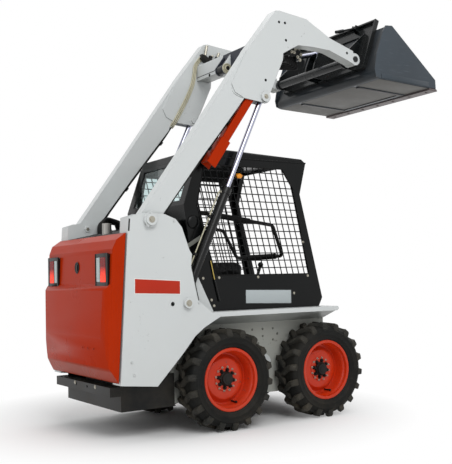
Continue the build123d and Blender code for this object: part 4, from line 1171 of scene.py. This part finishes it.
# ------------------------------------------------------------------ operator's seat
@dataclass
class Seat:
    """Sprung seat: crowned cushion and back in grained vinyl."""

    voxel: float = 0.006
    swell: float = 0.016
    slim: float = 0.93
    frames: int = 20
    pressure: float = 4.0

    def _pad(self, node: str, name: str) -> bpy.types.Object:
        """Pad blown up from a slimmed copy of the node by a short cloth simulation."""
        shape = bmesh.new()
        shape.from_mesh(frame["nodes"][node].data)
        bmesh.ops.remove_doubles(shape, verts=shape.verts, dist=1e-5)
        low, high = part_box(node)
        middle = (low + high) / 2
        for vert in shape.verts:
            vert.co = middle + Vector([c * self.slim for c in vert.co - middle])
        pad = from_bmesh(name, shape, 60)
        remesh = pad.modifiers.new("remesh", "REMESH")
        remesh.mode, remesh.voxel_size = "VOXEL", self.voxel
        pad = applied(pad, name)
        start = [v.co.copy() for v in pad.data.vertices]
        cloth = pad.modifiers.new("cloth", "CLOTH")
        cloth.settings.use_pressure = True
        cloth.settings.uniform_pressure_force = self.pressure
        cloth.settings.effector_weights.gravity = 0.0
        for number in range(1, self.frames + 1):
            bpy.context.scene.frame_set(number)
        pad = applied(pad, name)
        for vert, first in zip(pad.data.vertices, start):
            step = vert.co - first
            if step.length > self.swell:
                vert.co = first + step.normalized() * self.swell
        pad.data.shade_smooth()
        return pad

    def build(self, shop: Workshop) -> None:
        """Make both pads."""
        for node, name in (("seat_cushion", "seat_pad"), ("seat_back", "seat_back_pad")):
            pad = self._pad(node, name)
            shop.mount(pad, "chassis", "seat_vinyl", (node,))


# ------------------------------------------------------------------ rear door
@dataclass
class RearDoor:
    """The rear door's skin and what it carries: lamps, latch, plugs and its hinge's bolts."""

    body: str = "rear_door"
    lamp_inner: float = 318.0
    lamp_outer: float = 494.0
    lamp_rear: float = -1256.0
    window: Flat = (1001, 1157)
    flutes: int = 7
    bend: float = 0.018
    skin_edge: float = 0.53

    def skin(self) -> bpy.types.Object:
        """Pressed door: the frame's own shell with its outer bends rounded."""
        shape = bmesh.new()
        shape.from_mesh(frame["nodes"]["tailgate"].data)
        bmesh.ops.remove_doubles(shape, verts=shape.verts, dist=1e-5)
        bmesh.ops.dissolve_limit(shape, angle_limit=math.radians(1.0), verts=shape.verts,
                                 edges=shape.edges)

        def outside(face: bmesh.types.BMFace) -> bool:
            """Whether a face is part of the door's outer skin."""
            middle = face.calc_center_median()
            return face.normal.x < -0.05 or (abs(face.normal.y) > 0.9
                                             and abs(middle.y) > self.skin_edge)

        edges = [e for e in shape.edges if len(e.link_faces) == 2 and e.calc_length() > 0.03
                 and math.radians(5) < e.calc_face_angle(0) and all(map(outside, e.link_faces))]
        bmesh.ops.bevel(shape, geom=edges, offset=self.bend, segments=4, profile=0.5,
                        affect="EDGES", clamp_overlap=True)
        LOG.info("door bends %d", len(edges))
        return from_bmesh("gate_skin", shape, 32)

    def bezel(self, side: Side) -> bpy.types.Object:
        """Black frame round a lamp, its two windows left open."""
        inner, outer = self.lamp_inner, self.lamp_outer
        low, high = self.window
        bottom, top = 977, 1180
        shape = bmesh.new()
        for near, far, foot, head in (
                (inner - 5, inner + 14, bottom, top), (outer - 24, outer + 5, bottom, top),
                (inner + 14, outer - 24, bottom, low), (inner + 14, outer - 24, high, top),
                (inner + 66, inner + 71, low, high)):
            ys = side.span(near, far)
            add_block(shape, (self.lamp_rear - 6, ys[0], foot),
                      (self.lamp_rear + 2, ys[1], head))
        return bevel(from_bmesh(f"lamp_bezel_{side.tag}", shape), 0.0012, 1)

    def lens(self, side: Side, near: float, far: float, name: str) -> bpy.types.Object:
        """Lens bulging a little out of its window."""
        ys = side.span(near, far)
        return block(name, (self.lamp_rear - 4, ys[0], self.window[0]),
                     (self.lamp_rear + 1, ys[1], self.window[1]), 0.003, 3)

    def ribs(self, shop: Workshop, side: Side, near: float, step: float, finish: str,
             name: str) -> bpy.types.Object:
        """Upright half-round flutes moulded on a lens."""
        shape = bmesh.new()
        radius = step * 0.5
        turns = [math.pi * k / 6 for k in range(7)]
        section = [(-math.sin(a) * radius * 0.8, math.cos(a) * radius) for a in turns]
        ends = [[shape.verts.new(spot(self.lamp_rear - 4 + dx,
                                      side.value * (near + step * 0.8) + dy, height))
                 for dx, dy in section]
                for height in (self.window[0] + 3, self.window[1] - 3)]
        shape.faces.new(ends[0])
        shape.faces.new(ends[1][::-1])
        for k in range(7):
            n = (k + 1) % 7
            shape.faces.new([ends[0][k], ends[1][k], ends[1][n], ends[0][n]])
        return shop.grow(from_bmesh(name + "_one", shape), shop.trees.row,
                         {"Count": self.flutes, "Step": (0.0, mm(side.value * step), 0.0)},
                         finish, name)

    def latch(self) -> bpy.types.Object:
        """Oval dished latch plate with its paddle."""
        shape = bmesh.new()
        rings = []
        for scale, rear in ((1.0, -1244.0), (1.0, -1249.5), (0.86, -1250.5), (0.78, -1247.0),
                            (0.4, -1246.0)):
            rings.append([shape.verts.new(spot(rear, 10 + 34 * scale * c, 1099 + 38 * scale * s))
                          for c, s in circle(32, 1.0)])
        for one, two in zip(rings, rings[1:]):
            for k in range(32):
                n = (k + 1) % 32
                shape.faces.new([one[k], one[n], two[n], two[k]])
        shape.faces.new(rings[-1])
        shape.faces.new(rings[0][::-1])
        add_block(shape, (-1252, -2, 1076), (-1245, 22, 1120))
        return from_bmesh("gate_latch", shape, 40)

    def build(self, shop: Workshop) -> None:
        """Make the door's pieces and hand them over."""
        shop.mount(self.skin(), self.body, "body_orange", ("tailgate",))
        for side in Side:
            shop.mount(self.bezel(side), self.body, "lamp_case")
            for near, far, finish, step in ((71, 152, "red_lens", 10.2),
                                            (14, 66, "clear_lens", 6.4)):
                name = f"{finish}_{side.tag}"
                near, far = near + self.lamp_inner, far + self.lamp_inner
                shop.mount(self.lens(side, near, far, name), self.body, finish)
                shop.mount(self.ribs(shop, side, near, step, finish, f"{name}_flutes"),
                           self.body)
        shop.mount(self.latch(), self.body, "lamp_case")
        shop.bolts("gate_plugs", self.body, "body_orange",
                   [(-1297, y, 584) for y in (-175, -261, -347)], 5, 1.6, Facing.REAR)
        shop.bolts("gate_hinge_bolts", self.body, "frame_black",
                   [(-1226, 536, 560), (-1232, 536, 480), (-1182, 536, 1160),
                    (-1188, 536, 1080)], 8, 5, Facing.LEFT)


# ------------------------------------------------------------------ main frame
@dataclass
class FrameTrim:
    """Blank plates, bolts, pin ends, hoses and steps of the main frame."""

    body: str = "chassis"
    pairs: tuple[BoltSet | PlateSet, ...] = (
        PlateSet("name_plate_rim", "body_white", "plate_rim", 541.6, 542.8, 0.4,
                 (((-1102, 1021), (-770, 1001), (-771, 909), (-1103, 922)),)),
        PlateSet("name_plate", "body_orange", "plate_orange", 542.0, 543.4, 0.6,
                 (((-1097, 1016), (-775, 996), (-776, 914), (-1098, 927)),)),
        BoltSet("upright_bolts", "body_white", "body_white", 7, 4,
                ((-634, 542, 850), (-810, 542, 1383), (-1112, 542, 420), (-1128, 542, 500))),
        PlateSet("upright_seam", "frame_black", "rubber_trim", 541.5, 542.4, 0.2,
                 (((-684, 1068), (-678, 1070), (-632, 868), (-638, 866)),)),
        PlateSet("rear_edge_trim", "frame_black", "rubber_trim", 541.5, 542.7, 0.3,
                 (((-1133, 1392), (-1123, 1392), (-1129, 1315), (-1139, 1315)),)),
        BoltSet("pivot_pin_bolts", "bare_steel", "nut_zinc", 15, 6,
                ((-985, 573, 1388), (-722, 566, 852))),
        BoltSet("inner_boss", "body_white", "body_white", 26, 7, ((-985, 428, 1388),), True),
        BoltSet("inner_pin", "bare_steel", "nut_zinc", 14, 5, ((-985, 423, 1388),), True),
        BoltSet("pin_locks", "body_white", "body_white", 8, 5,
                ((-1010, 564, 1350), (-987, 564, 1431), (-722, 560, 824))),
        # The chaincase bolts take the fender grey's painted shade.
        BoltSet("case_bolts", "body_white", "fender_grey", 6, 4,
                ((-90, 362, 640), (0, 362, 640), (90, 362, 640), (0, 362, 590),
                 (90, 362, 560), (130, 362, 600), (-40, 362, 540))),
        BoltSet("case_covers", "body_white", "body_white", 46, 8, ((0, 362, 400),)))

    def build(self, shop: Workshop) -> None:
        """Make the trim and hand it over."""
        for side in Side:
            for item in self.pairs:
                item.add(shop, self.body, side)
        bundle = [[(-930 + 8 * k, 290 + 34 * k, 1345), (-935 + 6 * k, 296 + 32 * k, 1420),
                   (-885 + 10 * k, 318 + 26 * k, 1462 - 6 * k),
                   (-815 + 6 * k, 330 + 18 * k, 1446 - 5 * k),
                   (-768, 320 + 24 * k, 1430), (-752, 300 + 34 * k, 1376)] for k in range(4)]
        shop.tubes("lid_hoses", "engine_lid", "rubber_trim", bundle, 14, 14)
        shop.bolts("bumper_marks", self.body, "nut_zinc",
                   [(-1230, 110, 330), (-1230, -217, 330)], 9, 4, Facing.REAR)
        tooth = block("step_tooth", (552, -240, 470), (566, -226, 476), 0.001, 1)
        shop.mount(shop.grow(tooth, shop.trees.row, {"Count": 24, "Step": (0.0, 0.0203, 0.0)},
                             "frame_black", "step_teeth"), self.body)


# ------------------------------------------------------------------ lift arms
@dataclass
class ArmTrim:
    """Pins, holes, steel lines, clamps, hoses and couplers of the lift arms."""

    body: str = "lift_arms"
    beams: tuple[PlateSet | TubeSet, ...] = (
        TubeSet("beam_lines", "frame_black", "frame_black", 7.5, 10,
                tuple(((-802, y, 1503), (-642, y, 1708), (-466, y, 1923), (-318, y, 2104),
                       (-274, y, 2164), (-262, y - 30, 2200)) for y in (470, 488))),
        PlateSet("line_clamps", "frame_black", "rubber_trim", 458, 500, 2,
                 tuple(((x - 16, z - 4), (x + 6, z - 22), (x + 26, z + 2), (x + 4, z + 20))
                       for x, z in ((-346, 2078), (-652, 1704), (-500, 1890)))),
        TubeSet("pivot_hose", "frame_black", "rubber_trim", 16, 16,
                (((-790, 479, 1527), (-850, 477, 1448), (-905, 472, 1372),
                  (-925, 466, 1330)),)))
    faces: tuple[BoltSet | TubeSet, ...] = (
        BoltSet("arm_holes", "frame_black", "rubber_trim", 7, 1.2,
                ((94, 530, 2831), (148, 530, 2832), (153, 530, 2706), (-38, 530, 2394),
                 (735, 530, 2692))),
        BoltSet("arm_pin_bolts", "bare_steel", "nut_zinc", 12, 6, ((-49, 548, 2273),)),
        BoltSet("arm_boss", "body_white", "body_white", 27, 9,
                ((238, 440, 2722), (-49, 440, 2273)), True),
        BoltSet("arm_boss_bolts", "bare_steel", "nut_zinc", 12, 5, ((238, 431, 2722),), True),
        TubeSet("knee_weld", "body_white", "body_white", 3, 8,
                (((-329, 524.5, 2341), (-326, 524.5, 2300), (-306, 524.5, 2270),
                  (-270, 524.5, 2256), (-222, 524.5, 2247)),)))

    def lines(self, shop: Workshop) -> None:
        """Steel lines on the left arm's inner face."""
        y = 431
        for k in range(3):
            path = [(-270 + 15 * k, y + 30, 2200), (-262 + 15 * k, y, 2214),
                    (-136 + 15 * k, y, 2430), (-70 + 13 * k, y, 2560),
                    (-48 + 12 * k, y, 2660), (-42 + 12 * k, y, 2735), (20 + 20 * k, y, 2800)]
            shop.tubes(f"arm_line_{k}", self.body, "line_steel", [path], 5.5, 10)

    def couplers(self, shop: Workshop) -> None:
        """Coupler block and quick couplers at the left knee."""
        shop.slab("coupler_block", self.body, "frame_black", "frame_black",
                  [[(14, 2776), (60, 2752), (192, 2738), (204, 2782), (96, 2786), (60, 2812),
                    (20, 2820)]], 404, 436, 3)
        y = 420
        for k, (x, top) in enumerate(((52, 2896), (108, 2818), (168, 2850))):
            shop.tubes(f"coupler_{k}", self.body, "nut_zinc",
                       [[(x, y, 2784), (x + 8, y, 2812), (x + 26, y, top)]], 11)
            shop.tubes(f"coupler_collar_{k}", self.body, "rubber_trim",
                       [[(x, y, 2788), (x + 1, y, 2800), (x + 4, y, 2814)]], 15.5)

    def valves(self, shop: Workshop) -> None:
        """Valve blocks, their fittings and the hoses at the right knee."""
        shop.slab("valve_block", self.body, "frame_black", "frame_black",
                  [[(226, 2636), (330, 2650), (330, 2706), (226, 2700)]], -436, -392, 4)
        shop.bolts("valve_fittings", self.body, "nut_zinc",
                   [(244, -436, 2688), (276, -436, 2664), (312, -436, 2690), (300, -436, 2662),
                    (352, -410, 2640), (384, -410, 2662), (372, -410, 2620)], 9, 9,
                   Facing.RIGHT)
        shop.slab("valve_bank", self.body, "frame_black", "hitch_black",
                  [[(338, 2610), (390, 2618), (396, 2688), (338, 2700)]], -410, -330, 5)
        shop.bolts("bank_stubs", self.body, "nut_zinc",
                   [(370, -350, 2697), (370, -390, 2698)], 13, 30, Facing.UP)
        hoses = [[(254 + 24 * k, -384 + 3 * k, 2650), (262 + 24 * k, -382 + 4 * k, 2620),
                  (304 + 22 * k, -362, 2602 - 10 * k), (290 + 14 * k, -290, 2608 - 8 * k),
                  (190, -220 + 14 * k, 2596), (60, -180 + 20 * k, 2597)] for k in range(5)]
        shop.tubes("knee_hoses", self.body, "rubber_trim", hoses, 10)

    def member(self, shop: Workshop) -> None:
        """Sleeve, seam, hole, weld and tilt cylinder's boss on the cross member."""
        shop.slab("member_sleeve", self.body, "body_white", "body_white",
                  [[(-13, 2597), (103, 2597), (103, 2718), (-13, 2718)]], 49.5, 439.5, 2)
        shop.slab("member_seam", self.body, "frame_black", "rubber_trim",
                  [[(-14.2, 2621), (-12.6, 2621), (-12.6, 2626), (-14.2, 2626)]], 110, 436, 0.3)
        shop.bolts("member_hole", self.body, "rubber_trim", [(-13, 246, 2606)],
                   9, 1.4, Facing.REAR)
        shop.slab("tilt_boss_plate", self.body, "body_white", "body_white",
                  [[(-86, 2598), (-72, 2556), (-30, 2552), (28, 2601), (28, 2698), (-12, 2698)]],
                  -52, -49.2, 1)
        profile = [(0.0, -0.052), (0.040, -0.052), (0.040, -0.061), (0.037, -0.064),
                   (0.031, -0.064), (0.029, -0.060), (0.024, -0.060), (0.022, -0.068),
                   (0.019, -0.070), (0.0, -0.070)]
        boss = moved(lathed("tilt_boss", profile, 48, 30), -48, 0, 2585)
        shop.mount(boss, self.body, "line_steel")
        shop.bolts("tilt_pin_bolt", self.body, "frame_black", [(-48, -70, 2585)],
                   11, 5, Facing.RIGHT)
        # The member's welds take the same painted shade.
        seams = [[(100, y, z) for y in (-438, -240, -52)] for z in (2600, 2715)]
        shop.tubes("member_weld", self.body, "member_slate", seams, 3, 8)

    def build(self, shop: Workshop) -> None:
        """Make the arms' trim and hand it over."""
        self.lines(shop)
        for side in Side:
            for item in self.beams:
                item.add(shop, self.body, side)
        self.couplers(shop)
        self.valves(shop)
        for side in Side:
            for item in self.faces:
                item.add(shop, self.body, side)
        self.member(shop)


# ------------------------------------------------------------------ cylinders
@dataclass
class CylinderLines:
    """Oil line, ports, clamp bands and gland nut of a lift cylinder."""

    side: Side
    base: Flat = (-722.0, 852.0)
    eye: Flat = (-49.0, 2273.0)
    plane: float = 485.0
    port_ends: Flat = (806, 124)

    def _point(self, along: float, off: float) -> Flat:
        """Side-view point along the cylinder from its base pin and off towards the rear."""
        reach = math.hypot(self.eye[0] - self.base[0], self.eye[1] - self.base[1])
        ux = (self.eye[0] - self.base[0]) / reach
        uz = (self.eye[1] - self.base[1]) / reach
        return (self.base[0] + ux * along - uz * off, self.base[1] + uz * along + ux * off)

    def _path(self, *stations: Flat) -> list[Point]:
        """Path through (along, off) stations on the cylinder's own plane."""
        flat = [self._point(along, off) for along, off in stations]
        return [(x, self.side.value * self.plane, z) for x, z in flat]

    def build(self, shop: Workshop) -> None:
        """Make the cylinder's pieces and hand them over."""
        tag = self.side.tag
        body = f"lift_barrel_{tag[0]}"
        shop.tubes(f"oil_line_{tag}", body, "line_steel",
                   [self._path((806, 30), (806, 44), (780, 48), (500, 48), (150, 48),
                               (124, 44), (124, 30))], 5.2, 10)
        shop.tubes(f"cylinder_ports_{tag}", body, "nut_zinc",
                   [self._path((a, 28), (a, 34), (a, 41)) for a in self.port_ends], 12)
        bands = [[self._point(a - 9, 34), self._point(a + 9, 34), self._point(a + 9, 56),
                  self._point(a - 9, 56)] for a in (330, 610)]
        middle = self.side.value * self.plane
        shop.slab(f"line_bands_{tag}", body, "frame_black", "cylinder_black", bands,
                  middle - 10, middle + 10, 2)
        shop.tubes(f"gland_ring_{tag}", body, "cylinder_black",
                   [self._path((838, 0), (846, 0), (854, 0))], 30, 24)


# ------------------------------------------------------------------ bucket
@dataclass
class BucketTrim:
    """Worn plates, bolts, and dark strips of painted shade under the bucket."""

    body: str = "quick_attach"
    heel: Flat = (912.4, 2502.0)
    front: Flat = (1590.0, 2485.0)

    def _under(self, along: float, below: float) -> Flat:
        """Side-view point along the bucket's underside from its heel, and below it."""
        lean = math.atan2(self.heel[1] - self.front[1], self.front[0] - self.heel[0])
        return (self.heel[0] + along * math.cos(lean) - below * math.sin(lean),
                self.heel[1] - along * math.sin(lean) - below * math.cos(lean))

    def _sheet(self, shop: Workshop, name: str, finish: str, start: float, end: float,
               top: float, bottom: float, low: float, high: float) -> None:
        """Thin plate under the floor, from start to end along it and top to bottom below it."""
        outline = [self._under(start, top), self._under(end, top), self._under(end, bottom),
                   self._under(start, bottom)]
        shop.slab(name, self.body, "bucket_black", finish, [outline], low, high, 0.3)

    def build(self, shop: Workshop) -> None:
        """Make the pieces and hand them over."""
        for tag, end, low, high in (("middle", 547, -328, 328), ("right", 594, -625, -372),
                                    ("left", 594, 372, 625)):
            self._sheet(shop, f"floor_plate_{tag}", "bucket_floor", 62, end, -0.2, 1.6, low,
                        high)
        # Dark covers on the strips between the floor plates: painted shade.
        for side in Side:
            self._sheet(shop, f"strip_cover_{side.tag}", "wear_strip", 92, 588, 7.6, 9.4,
                        *side.span(330.0, 370.0))
        # The front strip's cover is painted shade too.
        self._sheet(shop, "strip_cover_front", "wear_strip", 549, 589, 0.0, 1.8, -328, 328)
        forward, height = self._under(640, 16.2)
        shop.bolts("edge_bolts", self.body, "edge_steel",
                   [(forward, y, height) for y in (-560, -373, -187, 0, 187, 373, 560)], 11, 4,
                   Facing.DOWN)
        wear = PlateSet("side_wear", "bucket_black", "bucket_black", 634.2, 636.5, 0.6,
                        (((985, 2507), (1500, 2496), (1500, 2536), (985, 2547)),))
        for side in Side:
            wear.add(shop, self.body, side)


# ------------------------------------------------------------------ cab
@dataclass
class CabTrim:
    """Window beads, bolts, plates, strut, lamp and roof ribs of the cab."""

    body: str = "chassis"
    face: float = 420.0
    pairs: tuple[BoltSet | PlateSet | TubeSet, ...] = (
        TubeSet("window_bead", "frame_black", "rubber_trim", 3.5, 8,
                (((-420, 421, 1028), (395, 421, 1028), (262, 421, 1652), (170, 421, 1785),
                  (-500, 421, 1785), (-560, 421, 1500), (-420, 421, 1028)),), False),
        BoltSet("cab_bolts", "bare_steel", "nut_zinc", 6.5, 4,
                ((248, 420, 888), (345, 420, 1259), (-523, 420, 1010), (-395, 420, 1012),
                 (-68, 420, 1010), (380, 420, 1012), (-460, 420, 862), (-440, 420, 822))),
        PlateSet("side_plate", "bare_steel", "plate_silver", 420, 421.6, 0.5,
                 (((-176, 922), (220, 911), (219, 816), (-178, 830)),)),
        # The cab stay takes the fender grey's painted shade.
        PlateSet("cab_stay", "body_white", "fender_grey", 420, 426, 1,
                 (((-660, 1200), (-541, 1270), (-541, 1300), (-660, 1232)),)))
    lines: tuple[TubeSet, ...] = (
        TubeSet("strut_rod", "bare_steel", "strut_gold", 4.2, 12,
                (((-466, 428, 1128), (-447, 428, 1040), (-436, 428, 990)),)),
        TubeSet("strut_tube", "cylinder_black", "cylinder_black", 7, 14,
                (((-438, 428, 1000), (-420, 428, 930), (-400, 428, 852)),)),
        TubeSet("roof_gutter", "cab_black", "cab_black", 5, 8,
                (((-546, 422, 1842), (-80, 422, 1842), (386, 422, 1842)),)))

    def sides(self, shop: Workshop) -> None:
        """What both sides of the cab carry."""
        profile = [(0.0, 0.0), (0.046, 0.0), (0.046, 0.004), (0.043, 0.008), (0.034, 0.012),
                   (0.018, 0.0145), (0.0, 0.015)]
        for side in Side:
            for item in self.pairs:
                item.add(shop, self.body, side)
            cap = lathed(f"work_lamp_{side.tag}", [(r, side.value * y) for r, y in profile],
                         40, 50)
            shop.mount(moved(cap, -592, side.value * self.face, 1389), self.body,
                       "cab_black")
            for item in self.lines:
                item.add(shop, self.body, side)

    def roof(self, shop: Workshop) -> None:
        """Pressed ribs along the roof."""
        shape = bmesh.new()
        outline = [(-505, 1892), (-492, 1900), (-300, 1905.5), (330, 1881), (345, 1872)]
        add_prism(shape, [at(*point) for point in outline], -0.32, -0.25)
        rib = bevel(from_bmesh("roof_rib_one", shape), 0.003)
        shop.mount(shop.grow(rib, shop.trees.row, {"Count": 5, "Step": (0.0, 0.1425, 0.0)},
                             "cab_black", "roof_ribs"), self.body)

    def lamp(self, shop: Workshop) -> None:
        """Amber warning lamp on a bracket behind the screen."""
        bracket = block("lamp_bracket", (-206, -396, 1722), (-186, -380, 1795), 0.002)
        shop.mount(bracket, self.body, "cab_black")
        profile = [(0.0, -0.017), (0.010, -0.016), (0.016, -0.011), (0.018, -0.004),
                   (0.018, 0.004), (0.0, 0.004)]
        lens = lathed("amber_lamp", profile, 32, 50)
        lens.data.transform(Matrix.Scale(1.7, 4, (1, 0, 0)))
        shop.mount(moved(lens, -196, -398, 1722), self.body, "amber_lens")

    def bar(self, shop: Workshop) -> None:
        """Foam sleeve and arm pads on the seat bar."""
        body = "operator_bar"
        shop.tubes("lap_pad", body, "rubber_trim",
                   [[(243, -210, 1162), (243, 0, 1162), (243, 210, 1162)]], 21, 20)
        pad = TubeSet("arm_pad", "frame_black", "rubber_trim", 20, 16,
                      (((-330, 330, 1444), (-200, 330, 1427), (-70, 330, 1411)),))
        for side in Side:
            pad.add(shop, body, side)

    def build(self, shop: Workshop) -> None:
        """Make all of the cab's trim."""
        self.sides(shop)
        self.roof(shop)
        self.lamp(shop)
        self.bar(shop)


# ------------------------------------------------------------------ finishes of the frame
@dataclass
class FrameFinishes:
    """Finish of every node of the frame, by its record slot or by its own name."""

    by_slot: dict[str, str]
    by_node: dict[str, str]

    def build(self, shop: Workshop) -> None:
        """Give each node its finish."""
        for part in frame["record"]["subparts"]:
            slot, node = part["material_slot"], part["node"]
            finish = self.by_node.get(node, self.by_slot.get(slot, slot))
            shop.palette.coat(frame["nodes"][node], finish)


def main() -> None:
    """Build the studio, the finishes and every sub-assembly in order."""
    logging.basicConfig(level=logging.INFO, format="%(message)s")
    palette = Palette(GroupShelf())
    Studio().build()
    shop = Workshop(palette, TreeShelf())
    FrameFinishes({"lamp_red": "lamp_case"},
                  # cross_member: paint darkened as painted shade; chaincases: white paint greyed
                  # as painted shade.
                  {"cross_member": "member_slate", "chaincases": "case_grey",
                   "tach_frame": "hitch_black", "tach_lever_right": "hitch_black",
                   "tach_lever_left": "hitch_black"}).build(shop)
    for corner in Corner:
        Wheel(corner).build(shop)
    Seat().build(shop)
    RearDoor().build(shop)
    FrameTrim().build(shop)
    ArmTrim().build(shop)
    for side in Side:
        CylinderLines(side).build(shop)
    BucketTrim().build(shop)
    CabTrim().build(shop)


if __name__ == "__main__":
    main()
